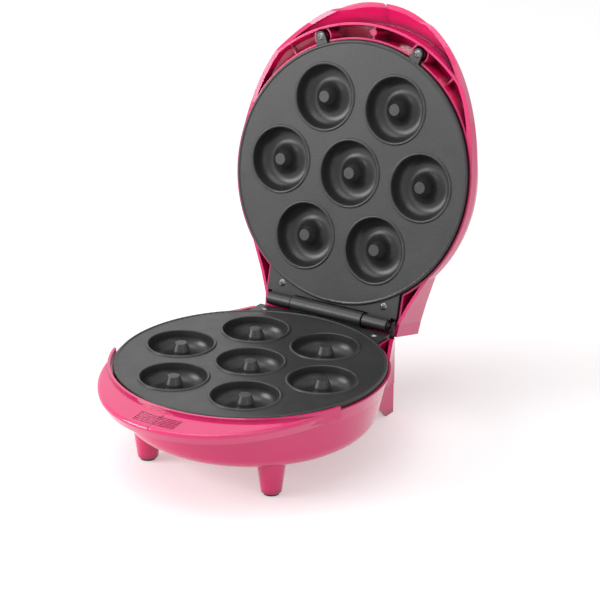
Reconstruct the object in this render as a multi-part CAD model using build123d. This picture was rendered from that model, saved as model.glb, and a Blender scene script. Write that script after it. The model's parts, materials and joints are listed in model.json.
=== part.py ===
from build123d import *
import math
import os

# Electric donut maker with a hinged lid, standing open on its stop.
# X runs along the hinge, +Y to the back, +Z up, and the feet stand on Z = 0.
# All sizes are in millimetres. The lid is modelled closed and then turned open.

# Cavities
CAVITY_R = 24.25          # mouth of a cavity
CAVITY_DEPTH = 12.8
PIN_TOP_R = 4.3           # centre pin of a cavity
PIN_FLARE = 2.3           # how much the pin widens on its way down
PIN_FLARE_DEPTH = 5.6
SIDE_DRAFT = 0.65         # how much the cavity's side leans in
SIDE_DEPTH = 5.5
MID_OFFSET = 0.5          # deepest circle, past the middle between pin and side
RIM_W = 2.0               # width of the raised ring round a cavity
RIM_RAISE = 0.9           # height of that ring over the plate's face
CUP_WALL = 2.5
OUTER_CAVITIES = 6
CAVITY_SPACING = 8.5      # between the rings of two neighbouring cavities

# Cooking plates
DISC_MARGIN = 9.35        # from the outer cavity rings to the edge bead
BEAD_W = 2.4              # raised bead round the plate's edge
BEAD_RAISE = 0.6
TAB_STEP = 0.7            # rear tab and lugs lie this much below the face
PLATE_T = 3.4             # thickness at the tab
BASE_RIM_Z = 69.8         # top of the cavity rings on the base plate
CLOSED_GAP = 3.0          # between the rings of the two plates when closed
TAB_HALF = 57.0           # half width of the rear tab
TAB_SETBACK = 0.7         # back edge of the tab behind the plate's round edge
TAB_LAP = 40.0            # how far the tab reaches under the disc
LUG_ANGLE = 23.54         # front lugs of the lid plate, each side of the front
LUG_REACH = 6.15          # centre of a lug beyond the plate's edge
LUG_R = 4.0
LUG_ROOT = 5.2            # half width of a lug where it leaves the plate
LUG_L = 13.0

# Small fasteners
SMALL_SHANK_R = 1.5
SMALL_SHANK_L = 7.0
SMALL_HEAD_R = 2.7
SMALL_HEAD_H = 2.0
SMALL_RECESS_L = 3.2
SMALL_RECESS_W = 0.8
PLATE_SHANK_R = 1.9
PLATE_SHANK_L = 11.0
PLATE_HEAD_R = 3.0
PLATE_HEAD_H = 1.3
CASE_SHANK_R = 2.0
CASE_HEAD_R = 3.6
CASE_HEAD_H = 2.6
CASE_SCREW_REACH = 9.0    # thread in the plate's post
THREAD_GAP = 0.1          # radial, screw shank to its hole
RECESS_W = 0.9            # cross recess
RECESS_REACH = 1.1        # length of the recess over the head's radius
POST_WALL = 1.75          # round a small screw in its post
BORE_SPARE = 1.0          # hole beyond a screw's end
SCREW_LAP = 0.5           # shank inside its own head

# Heater and what hangs on the plate
SEAT_GAP = 0.3            # between a curved piece and its seat
HEATER_DROP = 4.2         # heater's centre behind the cups
HEATER_TUBE_R = 3.25
HEATER_END_ANGLE = 12.0   # half the gap between the heater's ends
HEATER_LEG = 11.0
HEATER_LEG_STUB = 3.0     # bare terminal at each end
RIB_WALL = 2.25           # rib beside the heater's groove
CLAMP_ANGLES = (30.0, 150.0, 270.0)
CLAMP_REACH_IN = 13.0     # inner and outer strap posts from the heater's circle
CLAMP_REACH_OUT = 12.5
CLAMP_W = 8.0
CLAMP_END = 4.5
STRAP_T = 1.5
CASE_POST_R = 4.6
CASE_POST_OFFSET = 9.0    # long posts outside the heater's circle
CASE_POST_ANGLES = (90.0, 210.0, 330.0)
REFLECTOR_ROOM = 0.85     # between the strap screws and the heat shield
REFLECTOR_T = 0.8
REFLECTOR_FLANGE = 2.5
BASE_REFLECTOR_ROOM = 4.8  # heat shield to the bowl's wall
LID_REFLECTOR_ROOM = 0.5
LEG_HOLE_ROOM = 2.0
SENSOR_GAP = 8.75         # thermostat, earth and fuse posts outside the centre cavity
SENSOR_R = 7.9
SENSOR_BODY_R = 5.5
SENSOR_BODY_H = 3.2
SENSOR_FLANGE_H = 4.2
SENSOR_SEAT_DROP = 2.2    # thermostat seat behind the cups
SENSOR_BLADE = (0.8, 4.0, 4.8)
SENSOR_BLADE_X = 3.0
BRACKET_HALF = 12.0
BRACKET_END = 4.0
BRACKET_T = 1.0
EARTH_DEPTH = 18.0        # behind the cavity rings
TAG_T = 0.8
TAG_R = 4.0
TAG_L = 13.0
FUSE_ANGLE = 210.0
FUSE_OFFSET = 8.0
FUSE_R = 2.1
FUSE_L = 14.0
FUSE_LEAD_R = 0.6
FUSE_LEAD_L = 4.0
FUSE_CLIP_DEPTH = 18.0
FUSE_PAD = (10.0, 4.0)
FUSE_CLIP_HALF = 3.5
WIRE_R = 1.2

# Hinge
BARREL_R = 5.7            # middle knuckle, on the base plate
OUTER_BARREL_R = 5.0      # outer knuckles, on the lid plate
BARREL_ROOM = 0.3         # middle knuckle to the lid plate's tab
HINGE_RISE = 2.25         # hinge axis over the base's cavity rings
PIN_R = 2.0
PIN_GAP = 0.05
MIDDLE_KNUCKLE_HALF = 31.0
KNUCKLE_GAP = 0.8
KNUCKLE_INSET = 4.5       # outer knuckles end inside the tab's side
WEB_LAP = 2.0
WEB_SHORT = 2.3           # web ends this far in front of the axis
CLIP_T = 0.6
CLIP_R = 3.4
CLIP_SEAT = 0.3
CLIP_MOUTH = 0.9
PIN_GROOVE = 0.4
PIN_OVERHANG = 1.7
OPEN_ANGLE = 104.58
SLEEVE_R = 1.5
SLEEVE_BEND = 3.0
SLEEVE_X = (8.0, 0.4)     # lower and upper run, inside the tab's side
SLEEVE_LOW = (2.7, 22.05)  # start in front of and under the axis
SLEEVE_KNEE = (0.7, 9.55)
SLEEVE_TOP = (5.95, 1.55)  # upper run, from under to over the axis

# Base housing
WALL = 2.4
RING_GAP = 0.5            # plate's edge to the wall round it
RIM_WALL = 1.9            # bowl's wall at its rim
RIM_DROP = 3.8            # bowl's rim under the cavity rings
BOWL_RIM_H = 10.5
BOWL_RIM_SPREAD = 3.6     # bowl widens by this much over its rim band
BOWL_TAPER = 7.1          # and by this much from its floor to that band
BOWL_H = 46.3             # floor under the cavity rings
BOWL_FILLET = 15.0
SHELF_GAP = 0.6           # plate's flange over the shelf in the bowl
TAB_WALL_GAP = 0.6
INNER_WALL = 1.6
INNER_WALL_H = 16.5
COLLAR_LEDGE = 1.5        # guard wall outside the ring wall
COLLAR_T = 2.0
COLLAR_DROP = 0.3         # top of the guard wall under the cavity rings
COLLAR_H = 9.0
COLLAR_END_ANGLE = 19.0   # guard wall ends this far in front of the sides
LIP_RISE = 1.4            # top of the lip at the guard wall, over the bowl's rim
LIP_DROP = 2.4            # fall of the lip's top to its edge
LIP_BAND = 8.0            # height of the lip's side band
LIP_DRAFT = 4.5           # how much the band leans in at its lower edge
LIP_FRONT = 25.9          # reach of the lip in front of the guard wall
LIP_NOSE_R = 83.5
LIP_NOSE_ANGLE = 45.0     # the nose arc runs this far to each side
LIP_JOIN_ANGLE = 68.0
LIP_JOIN_SINK = 0.2
LIP_FILLET = 2.2
GRIP_HALF = 17.0          # ribbed thumb recess in the lip
GRIP_START = 7.5
GRIP_DEPTH = 0.6
GRIP_PITCH = 2.1
GRIP_RIB_W = 0.9
GRIP_RIBS = 5
NECK_REACH = 53.7         # neck starts this far in front of the hinge
REAR_REACH = 8.3          # rear wall behind the hinge
NECK_INSET = 2.0          # neck's sides inside the bowl's rim where it starts
NECK_BACK_INSET = 3.2     # neck's rear corners inside the tab's sides
NECK_FLOOR_BACK = 0.2     # neck's floor, wider than its top at the back
NECK_FLOOR_FRONT = 2.2
NECK_LOW_REACH = 7.7      # low part of the neck starts in front of the hinge
NECK_LOW_DROP = 3.3       # under the bowl's rim
REAR_DROP = 6.2
REAR_STEP = 1.0
SWING_ROOM = 9.9          # room that the lid's rear edge needs round the hinge
LEG_LAP = 0.5
LEG_TOE = 11.2            # rear leg's toe, from front to back
LEG_RAKE = 23.3
LEG_T = 2.2
LEG_RETURN = 14.0
LEG_INSET = 0.8
FOOT_ANGLE = 45.4
FOOT_IN = 14.8            # front feet inside the bowl's floor
FOOT_TOP_R = 11.6
FOOT_BOTTOM_R = 7.5
FOOT_BOTTOM_Z = 1.6
FOOT_FILLET = 1.0
FOOT_LAP = 8.5            # foot's cone above the bowl's floor
PAD_R = 5.8
PAD_STEM_R = 2.4
PAD_STEM_H = 5.0
CASE_BOSS_R = 6.0
CASE_WELL_R = 4.0
CASE_CAP_T = 4.0
TAB_BOSS_R = 4.6
BASE_TAB_SCREW = (8.5, 6.7)   # from the tab's side and from its back edge
LID_TAB_SCREW = (12.2, 7.2)

# Base fittings
GLAND_RISE = 18.5         # cord gland over the bowl's floor
GLAND_BORE_R = 3.6
GLAND_R = 6.0
GLAND_FLANGE_R = 8.5
GLAND_FLANGE_T = 2.5
GLAND_INNER_R = 7.5
GLAND_INNER_T = 2.0
BLOCK_SETBACK = 25.0      # terminal block in front of the rear wall
BLOCK_SIZE = (34.0, 14.0, 10.0)
BLOCK_BOSS_H = 4.0
BLOCK_BOSS_R = 4.0
BLOCK_SCREW_SEAT = 4.0
BLOCK_WAY_R = 2.2
BLOCK_WAY_X = 11.0
BLOCK_WAY_FLOOR = 5.0
LEAD_RISE = 3.0
LEAD_BENDS = (6.0, 5.0, 4.0)
LEAD_X = 12.0
HINGE_LEAD_KNEE = (19.0, 5.0, 2.0, 8.0)
LID_LEAD_HIGH = (1.1, 8.95)
LID_LEAD_KNEE = (16.5, 2.7, 15.95)
LID_LEAD_TURN = (18.5, 27.7)
LID_LEAD_CROSS = (68.0, 74.0, 80.0)

# Lid housing, as heights above the closed lid's cavity rings
LID_RIM = 3.9
LID_RIM_WALL = 1.8        # dome's wall at its rim
DOME_EDGE = 10.0
DOME_RISE = 34.0
DOME_SHOULDER_R = 18.0
LID_WALL = 2.5
LID_ROOM = 12.0           # height of the plate's room in the lid
COLLAR_REACH = 12.8       # lid's collar outside the ring wall
LID_COLLAR_T = 1.9
LID_COLLAR_END = 60.0     # collar runs back to this far in front of the centre
BRIM_T = 3.6              # thickness of the brim's edge
BRIM_FILLET = 3.0
LUG_CUP_R = 7.4
LUG_CUP_T = 1.2
LUG_CUP_DROP = 1.5
LUG_ROOM = 0.6
RIB_T = 1.6
POCKET_RIBS = ((-90.0, 8.0), (-50.0, 11.0), (-130.0, 11.0))
MARKER_R = 2.6
MARKER_DROP = 3.0
LID_REAR = 7.7            # lid's rear wall behind the hinge
LID_NECK_FILLET = 5.0
LAMP_SETBACK = 21.7       # lamps in front of the hinge
LAMP_X = 9.0
LAMP_PAD = 44.0           # top of the flat pad that holds the lamp lenses
LAMP_PAD_HALF = 17.0
LAMP_PAD_R = 7.0
LAMP_PAD_DEEP = 8.0
LENS_R = 3.4
LENS_FLANGE_R = 4.3
LENS_SEAT = 0.8
LENS_RISE = 0.6
LENS_TAIL = 1.0
LAMP_R = 2.4
LAMP_GAP = 1.5
HOLDER_DEPTH = 31.0
HOLDER_T = 1.2
HOLDER_POST_X = 19.0
HOLDER_END = 4.0
HOLDER_HALF = 5.0

# Worked out from the sizes above
RIM_OUTER_R = CAVITY_R + RIM_W
CAVITY_MID_R = (CAVITY_R + PIN_TOP_R) / 2 + MID_OFFSET
CUP_R = CAVITY_R + CUP_WALL
RING_PITCH_R = 2 * RIM_OUTER_R + CAVITY_SPACING
DISC_R = RING_PITCH_R + RIM_OUTER_R + DISC_MARGIN
PLATE_R = DISC_R + BEAD_W
BASE_FACE_Z = BASE_RIM_Z - RIM_RAISE
TAB_Z = BASE_FACE_Z - TAB_STEP
PLATE_BACK_Z = TAB_Z - PLATE_T
PLATE_BACK = BASE_RIM_Z - PLATE_BACK_Z
TAB_BACK_Y = PLATE_R + TAB_SETBACK
HINGE_Y = TAB_BACK_Y + BARREL_ROOM + BARREL_R
HINGE_Z = BASE_RIM_Z + HINGE_RISE
MIRROR_Z = BASE_RIM_Z + CLOSED_GAP / 2
LID_ZERO = BASE_RIM_Z + CLOSED_GAP
OUTER_KNUCKLE_X = TAB_HALF - KNUCKLE_INSET
POST_R = SMALL_SHANK_R + POST_WALL
CUP_DEPTH = CAVITY_DEPTH + CUP_WALL
HEATER_DEPTH = CUP_DEPTH + HEATER_DROP
STRAP_DEPTH = HEATER_DEPTH + HEATER_TUBE_R + SEAT_GAP
REFLECTOR_DEPTH = STRAP_DEPTH + STRAP_T + SMALL_HEAD_H + REFLECTOR_ROOM
SENSOR_SEAT_DEPTH = CUP_DEPTH + SENSOR_SEAT_DROP
BRACKET_DEPTH = SENSOR_SEAT_DEPTH + SEAT_GAP + SENSOR_FLANGE_H
SENSOR_Y = RIM_OUTER_R + SENSOR_GAP
CLAMP_POSTS = (RING_PITCH_R - CLAMP_REACH_IN, RING_PITCH_R + CLAMP_REACH_OUT)
RING_INNER_R = PLATE_R + RING_GAP
BOWL_RIM_R = RING_INNER_R + RIM_WALL
BOWL_MID_R = BOWL_RIM_R - BOWL_RIM_SPREAD
BOWL_FLOOR_R = BOWL_MID_R - BOWL_TAPER
BOWL_RIM_Z = BASE_RIM_Z - RIM_DROP
BOWL_MID_Z = BOWL_RIM_Z - BOWL_RIM_H
BOWL_FLOOR_Z = BASE_RIM_Z - BOWL_H
COLLAR_INNER_R = RING_INNER_R + COLLAR_LEDGE
COLLAR_OUTER_R = COLLAR_INNER_R + COLLAR_T
COLLAR_TOP_Z = BASE_RIM_Z - COLLAR_DROP
LIP_START_Z = BOWL_RIM_Z + LIP_RISE
LIP_EDGE_Z = LIP_START_Z - LIP_DROP
LIP_LOW_Z = LIP_EDGE_Z - LIP_BAND
REAR_Y = HINGE_Y + REAR_REACH
NECK_START_Y = HINGE_Y - NECK_REACH
BLOCK_Y = REAR_Y - BLOCK_SETBACK
BLOCK_Z = BOWL_FLOOR_Z + WALL + BLOCK_BOSS_H
GLAND_Z = BOWL_FLOOR_Z + GLAND_RISE
DOME_R = RING_INNER_R + LID_RIM_WALL
LID_COLLAR_R = RING_INNER_R + COLLAR_REACH
LID_REAR_Y = HINGE_Y + LID_REAR
LAMP_Y = HINGE_Y - LAMP_SETBACK
OVER = 1.0                # how far a cutter runs past a face
FAR = 2 * PLATE_R         # past everything
DEEP = 20.0               # how far a hollow runs out of its open side

# Lid's brim on the right, from the front to the side: angle from the front, reach beyond the
# plate's edge, height of the brim's top at its edge, and height of its crown in the middle
BRIM_FRONT = 29.3
BRIM_POINTS = ((9.9, 29.3, 17.2, 19.3), (26.3, 23.7, 16.0, 28.0), (41.8, 16.3, 13.0, 31.5),
               (58.5, 8.2, 12.6, 34.0), (75.2, 2.9, 14.2, 34.0), (88.9, 1.7, 14.8, 34.0))
BRIM_LEAD = (36.0, 10.0, 15.0, 15.4)      # section in front of the brim
BRIM_TAIL = ((29.0, 98.0, 12.0, 32.0), (60.0, 88.0, 6.0, 27.0))   # sections behind it, under the dome
# Lower edge of the brim, front to back: distance in front of the plate's edge, and height
BRIM_LOWER = ((40.0, 18.0), (20.0, 18.0), (17.0, 15.8), (5.0, 13.0), (-7.0, 9.0), (-19.0, LID_RIM))
# Lid's neck: distance in front of the hinge, half width, side height and crown height
LID_NECK = ((57.7, 87.0, 9.0, 32.0), (47.7, 81.5, 12.0, 35.8), (41.7, 78.0, 16.5, 38.4),
            (35.7, 74.9, 20.0, 39.5), (17.7, 65.9, 31.5, 42.6), (2.1, 59.4, 40.5, 44.0),
            (-7.7, 58.3, 41.0, 44.0))
LID_SIDE_ANGLE = 17.0     # point of the lid's side arc, behind the middle


def polar(radius, angle):
    """Point on a circle about the plate's centre, angle in degrees from +X."""
    return (radius * math.cos(math.radians(angle)), radius * math.sin(math.radians(angle)))


def depth_z(depth):
    """Height in the base of a place that lies this far behind the base plate's cavity rings."""
    return BASE_RIM_Z - depth


def lid_z(height):
    """Height in the closed position of a place above the closed lid's cavity rings."""
    return LID_ZERO + height


def rod(radius, x, y, z_low, z_high):
    """Upright cylinder between two heights."""
    return Pos(x, y, (z_low + z_high) / 2) * Cylinder(radius, z_high - z_low)


def rod_x(radius, x_low, x_high, y=HINGE_Y, z=HINGE_Z):
    """Cylinder along X."""
    return Pos((x_low + x_high) / 2, y, z) * Rot(Y=90) * Cylinder(radius, x_high - x_low)


def slab(x_low, x_high, y_low, y_high, z_low, z_high):
    """Box between its lowest and highest corners."""
    size = (x_high - x_low, y_high - y_low, z_high - z_low)
    return Pos((x_low + x_high) / 2, (y_low + y_high) / 2, (z_low + z_high) / 2) * Box(*size)


def cross(x, y, z, length, width, height):
    """Cross-shaped cutter, centred at a point."""
    return Pos(x, y, z) * (Box(length, width, height) + Box(width, length, height))


def spun(points):
    """Solid of revolution about Z of a closed outline of radius and height."""
    return revolve(Plane.XZ * make_face(Polyline(*points, close=True)), Axis.Z)


def prism(sketch, z_low, z_high):
    """Upright extrusion of a plan sketch between two heights."""
    return extrude(Pos(0, 0, z_low) * sketch, z_high - z_low, dir=(0, 0, 1))


def side_prism(points, half_width):
    """Extrusion along X, about X = 0, of an outline in Y and Z."""
    face = make_face(Polyline(*[(0, y, z) for y, z in points], close=True))
    return extrude(face, half_width, dir=(1, 0, 0), both=True)


def wire(points, radius, bend):
    """Round tube along straight runs joined by arcs."""
    path = FilletPolyline(*points, radius=bend)
    return sweep(Plane(path @ 0, z_dir=path % 0) * Circle(radius), path)


def to_lid(shape):
    """The same piece on the closed lid: mirrored about the gap between the plates."""
    return mirror(shape, about=Plane.XY.offset(MIRROR_Z))


def without(shape, tools):
    """The shape with each tool cut from it in turn."""
    for tool in tools:
        shape -= tool
    return shape


# Places of what repeats

def cavity_places():
    """Centres of the seven cavities."""
    ring = [polar(RING_PITCH_R, 360.0 * step / OUTER_CAVITIES) for step in range(OUTER_CAVITIES)]
    return [(0.0, 0.0)] + ring


def strap_posts():
    """Centres of the posts that carry the heater straps."""
    return [polar(radius, angle) for angle in CLAMP_ANGLES for radius in CLAMP_POSTS]


def case_posts():
    """Centres of the three long posts."""
    return [polar(RING_PITCH_R + CASE_POST_OFFSET, angle) for angle in CASE_POST_ANGLES]


def tab_screws(inset):
    """Centres of a plate's two rear screws."""
    x = TAB_HALF - inset[0]
    y = TAB_BACK_Y - inset[1]
    return [(-x, y), (x, y)]


def lug_screws():
    """Centres of the lid plate's two front screws."""
    return [polar(PLATE_R + LUG_REACH, side * LUG_ANGLE - 90) for side in (-1, 1)]


def foot_places():
    """Centres of the two front feet, left and right."""
    x, y = polar(BOWL_FLOOR_R - FOOT_IN, FOOT_ANGLE)
    return [(-x, -y), (x, -y)]


# Cooking plates

def cavity_trough():
    """Ring-shaped hollow of one cavity, open upwards."""
    foot = (PIN_TOP_R + PIN_FLARE, -PIN_FLARE_DEPTH)
    wall = (CAVITY_R - SIDE_DRAFT, -SIDE_DEPTH)
    low = Polyline((PIN_TOP_R, OVER), (PIN_TOP_R, 0.0), foot)
    bowl = ThreePointArc(foot, (CAVITY_MID_R, -CAVITY_DEPTH), wall)
    side = Polyline(wall, (CAVITY_R, 0.0), (CAVITY_R, OVER), (PIN_TOP_R, OVER))
    return revolve(Plane.XZ * make_face(low + bowl + side), Axis.Z)


def cavity_cup():
    """Cast cup behind one cavity."""
    bottom = -CUP_DEPTH
    profile = ((0, -RIM_RAISE), (0, bottom + 7.3), (PIN_TOP_R - 0.8, bottom + 6.3),
               (CAVITY_MID_R - 6.2, bottom + 1.2), (CAVITY_MID_R, bottom), (CUP_R - 5.75, bottom + 2.2),
               (CUP_R - 1.15, bottom + 6.6), (CUP_R, bottom + 9.3), (CUP_R, -RIM_RAISE))
    return spun(profile)


def cavity_ring():
    """Raised round-topped ring of one cavity, with the top of its centre pin."""
    low = -RIM_RAISE - OVER
    pin = rod(CAVITY_MID_R, 0, 0, low, 0)
    crest = CAVITY_R + RIM_W / 2
    inner = CAVITY_R - OVER
    top = ThreePointArc((RIM_OUTER_R, -RIM_RAISE), (crest, 0), (CAVITY_R, -RIM_RAISE / 2))
    rest = Polyline((CAVITY_R, -RIM_RAISE / 2), (inner, -RIM_RAISE / 2), (inner, low), (RIM_OUTER_R, low),
                    (RIM_OUTER_R, -RIM_RAISE))
    return revolve(Plane.XZ * make_face(top + rest), Axis.Z) + pin


def edge_bead():
    """Raised bead round the edge of the face."""
    top = BASE_FACE_Z + BEAD_RAISE
    inner = (DISC_R, BASE_FACE_Z)
    outer = (PLATE_R, BASE_FACE_Z - BEAD_RAISE)
    arc = ThreePointArc(inner, (DISC_R + BEAD_W / 2, top), outer)
    low = BASE_FACE_Z - PLATE_T
    rest = Polyline(outer, (PLATE_R, low), (DISC_R, low), inner)
    return revolve(Plane.XZ * make_face(arc + rest), Axis.Z)


def plate_blank():
    """Face disc with its edge bead, and the rear tab of a plate."""
    disc = rod(DISC_R + BEAD_W / 2, 0, 0, PLATE_BACK_Z, BASE_FACE_Z)
    disc += rod(PLATE_R, 0, 0, PLATE_BACK_Z, BASE_FACE_Z - BEAD_RAISE)
    tab = slab(-TAB_HALF, TAB_HALF, TAB_BACK_Y - TAB_LAP, TAB_BACK_Y, PLATE_BACK_Z, TAB_Z)
    return disc + tab + edge_bead()


def shared_posts():
    """Posts on the back of a plate for the heater straps and the heat shield."""
    top = BASE_FACE_Z - OVER
    posts = [rod(POST_R, x, y, depth_z(STRAP_DEPTH), top) for x, y in strap_posts()]
    posts += [rod(CASE_POST_R, x, y, depth_z(REFLECTOR_DEPTH), top) for x, y in case_posts()]
    return posts


def shared_post_holes(case_shank_r, case_reach):
    """Screw holes in those posts."""
    low = depth_z(STRAP_DEPTH)
    reach = SMALL_SHANK_L - STRAP_T + BORE_SPARE
    holes = [rod(SMALL_SHANK_R + THREAD_GAP, x, y, low - OVER, low + reach) for x, y in strap_posts()]
    low = depth_z(REFLECTOR_DEPTH)
    holes += [rod(case_shank_r + THREAD_GAP, x, y, low - OVER, low + case_reach) for x, y in case_posts()]
    return holes


def heater_rib():
    """Cast rib that the heater's groove lies in."""
    low = depth_z(HEATER_DEPTH)
    half = HEATER_TUBE_R + RIB_WALL
    rib = rod(RING_PITCH_R + half, 0, 0, low, BASE_FACE_Z - OVER)
    return rib - rod(RING_PITCH_R - half, 0, 0, low - OVER, BASE_FACE_Z)


def heater_groove():
    """Round groove with room for the heating ring."""
    return Pos(0, 0, depth_z(HEATER_DEPTH)) * Torus(RING_PITCH_R, HEATER_TUBE_R + SEAT_GAP)


def cooking_plate(extra_posts, extra_holes, case_shank_r, case_reach):
    """Cast plate at the base's height, without hinge knuckles."""
    plate = plate_blank()
    for x, y in cavity_places():
        plate += Pos(x, y, BASE_RIM_Z) * cavity_cup()
    plate += heater_rib()
    plate += shared_posts() + extra_posts
    plate += [Pos(x, y, BASE_RIM_Z) * cavity_ring() for x, y in cavity_places()]
    plate -= heater_groove()
    plate -= [Pos(x, y, BASE_RIM_Z) * cavity_trough() for x, y in cavity_places()]
    plate -= shared_post_holes(case_shank_r, case_reach) + extra_holes
    return plate


def fuse_place(offset=0.0):
    """Plan position of the fuse's post, or of a place beside it."""
    return Rot(Z=FUSE_ANGLE) * Pos(SENSOR_Y, offset, 0)


def sensor_posts():
    """Thermostat seat and its screw posts, earth post, and fuse post with its pad."""
    top = BASE_FACE_Z - OVER
    parts = [rod(SENSOR_R, 0, SENSOR_Y, depth_z(SENSOR_SEAT_DEPTH), top)]
    parts += [rod(POST_R, x, SENSOR_Y, depth_z(BRACKET_DEPTH), top) for x in (-BRACKET_HALF, BRACKET_HALF)]
    parts.append(rod(POST_R, 0, -SENSOR_Y, depth_z(EARTH_DEPTH), top))
    parts.append(fuse_place() * rod(POST_R, 0, 0, depth_z(FUSE_CLIP_DEPTH), top))
    length, width = FUSE_PAD
    pad_low = depth_z(FUSE_CLIP_DEPTH - 2 * FUSE_R - 2 * THREAD_GAP)
    pad = slab(-length / 2, length / 2, -width / 2, width / 2, pad_low, top)
    parts.append(fuse_place(FUSE_OFFSET) * pad)
    return parts


def sensor_screw_seats():
    """Places and seat heights of the small screws that hold the sensors and the earth tag."""
    fuse_x, fuse_y = polar(SENSOR_Y, FUSE_ANGLE)
    sides = [(x, SENSOR_Y, BRACKET_DEPTH, BRACKET_T) for x in (-BRACKET_HALF, BRACKET_HALF)]
    return sides + [(0.0, -SENSOR_Y, EARTH_DEPTH, TAG_T), (fuse_x, fuse_y, FUSE_CLIP_DEPTH, TAG_T)]


def sensor_holes():
    """Screw holes for the sensors and the earth tag."""
    holes = []
    for x, y, depth, _ in sensor_screw_seats():
        low = depth_z(depth)
        holes.append(rod(SMALL_SHANK_R + THREAD_GAP, x, y, low - OVER, low + SMALL_SHANK_L))
    return holes


def small_screw(x, y, seat_z):
    """Pan head screw that points up, its head under seat_z."""
    head = rod(SMALL_HEAD_R, x, y, seat_z - SMALL_HEAD_H, seat_z)
    shank = rod(SMALL_SHANK_R, x, y, seat_z - SCREW_LAP, seat_z + SMALL_SHANK_L)
    recess = cross(x, y, seat_z - SMALL_HEAD_H, SMALL_RECESS_L, SMALL_RECESS_W, SMALL_HEAD_H)
    return head + shank - recess


def strap_screws():
    """Screws of the three heater straps."""
    return [small_screw(x, y, depth_z(STRAP_DEPTH + STRAP_T)) for x, y in strap_posts()]


def heater_strap(angle):
    """Flat steel strap across the heater, on its two posts."""
    low = depth_z(STRAP_DEPTH + STRAP_T)
    inner, outer = CLAMP_POSTS
    strap = slab(inner - CLAMP_END, outer + CLAMP_END, -CLAMP_W / 2, CLAMP_W / 2, low, low + STRAP_T)
    for radius in CLAMP_POSTS:
        strap -= rod(SMALL_SHANK_R + THREAD_GAP, radius, 0, low - OVER, low + STRAP_T + OVER)
    return Rot(Z=angle) * strap


def heater_ends():
    """Centres of the heater's two ends."""
    return [polar(RING_PITCH_R, 90 + side * HEATER_END_ANGLE) for side in (-1, 1)]


def heater():
    """Tubular heating ring with two ends that turn away from the plate."""
    z = depth_z(HEATER_DEPTH)
    section = Plane.XZ * (Pos(RING_PITCH_R, 0) * Circle(HEATER_TUBE_R))
    ring = revolve(section, Axis.Z, 360 - 2 * HEATER_END_ANGLE)
    ring = Pos(0, 0, z) * Rot(Z=90 + HEATER_END_ANGLE) * ring
    for x, y in heater_ends():
        ring += Pos(x, y, z) * Sphere(HEATER_TUBE_R)
        ring += rod(HEATER_TUBE_R, x, y, z - HEATER_LEG + HEATER_LEG_STUB, z)
        ring += rod(HEATER_TUBE_R / 3, x, y, z - HEATER_LEG, z)
    return ring


def reflector(radius, hole_r, sensor_hole):
    """Dished heat shield with a turned edge and holes for the posts' screws and the heater's ends."""
    top = depth_z(REFLECTOR_DEPTH)
    low = top - REFLECTOR_T
    shield = rod(radius, 0, 0, low, top)
    edge = rod(radius, 0, 0, low, top + REFLECTOR_FLANGE)
    shield += edge - rod(radius - REFLECTOR_T, 0, 0, low - OVER, top + REFLECTOR_FLANGE + OVER)
    shield -= [rod(hole_r, x, y, low - OVER, top + OVER) for x, y in case_posts()]
    shield -= [rod(HEATER_TUBE_R + LEG_HOLE_ROOM, x, y, low - OVER, top + OVER) for x, y in heater_ends()]
    if sensor_hole:
        shield -= rod(SENSOR_R, 0, SENSOR_Y, low - OVER, top + OVER)
    return shield


def base_reflector_r():
    """Radius of the base's heat shield, clear of the bowl's wall."""
    share = (depth_z(REFLECTOR_DEPTH) - BOWL_FLOOR_Z) / (BOWL_MID_Z - BOWL_FLOOR_Z)
    return BOWL_FLOOR_R + share * BOWL_TAPER - WALL - BASE_REFLECTOR_ROOM


def lid_reflector_r():
    """Radius of the lid's heat shield, clear of the dome's wall."""
    _, crown_r, crown_z = dome_arcs()
    height = lid_z(REFLECTOR_DEPTH + REFLECTOR_T + LID_REFLECTOR_ROOM) - crown_z
    return math.sqrt((crown_r - LID_WALL) ** 2 - height ** 2)


def cross_head(x, y, seat_z, head_r, head_h):
    """Domed head with a cross recess, looking up from seat_z."""
    ball_r = (head_r ** 2 + head_h ** 2) / (2 * head_h)
    head = Pos(x, y, seat_z + head_h - ball_r) * Sphere(ball_r)
    head &= rod(head_r, x, y, seat_z, seat_z + head_h)
    return head - cross(x, y, seat_z + head_h, RECESS_REACH * head_r, RECESS_W, head_h)


def plate_screw(x, y):
    """Cross-recess screw that holds a plate down through its flange."""
    shank = rod(PLATE_SHANK_R, x, y, TAB_Z - PLATE_SHANK_L, TAB_Z + PLATE_HEAD_H / 4)
    return cross_head(x, y, TAB_Z, PLATE_HEAD_R, PLATE_HEAD_H) + shank


def screw_holes(places):
    """Clearance holes through a plate's flange."""
    radius = PLATE_SHANK_R + THREAD_GAP
    return [rod(radius, x, y, PLATE_BACK_Z - OVER, BASE_FACE_Z + OVER) for x, y in places]


def hinge_bore():
    """Bore for the hinge pin through all knuckles."""
    return rod_x(PIN_R + PIN_GAP, -OUTER_KNUCKLE_X - OVER, OUTER_KNUCKLE_X + OVER)


def make_base_plate():
    """Base plate with the middle knuckle."""
    places = tab_screws(BASE_TAB_SCREW)
    plate = cooking_plate(sensor_posts(), sensor_holes() + screw_holes(places),
                          CASE_SHANK_R, CASE_SCREW_REACH + BORE_SPARE)
    half = MIDDLE_KNUCKLE_HALF
    web = slab(-half, half, TAB_BACK_Y - WEB_LAP, HINGE_Y - WEB_SHORT, PLATE_BACK_Z, TAB_Z)
    return plate + web + rod_x(BARREL_R, -half, half) - hinge_bore()


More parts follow.
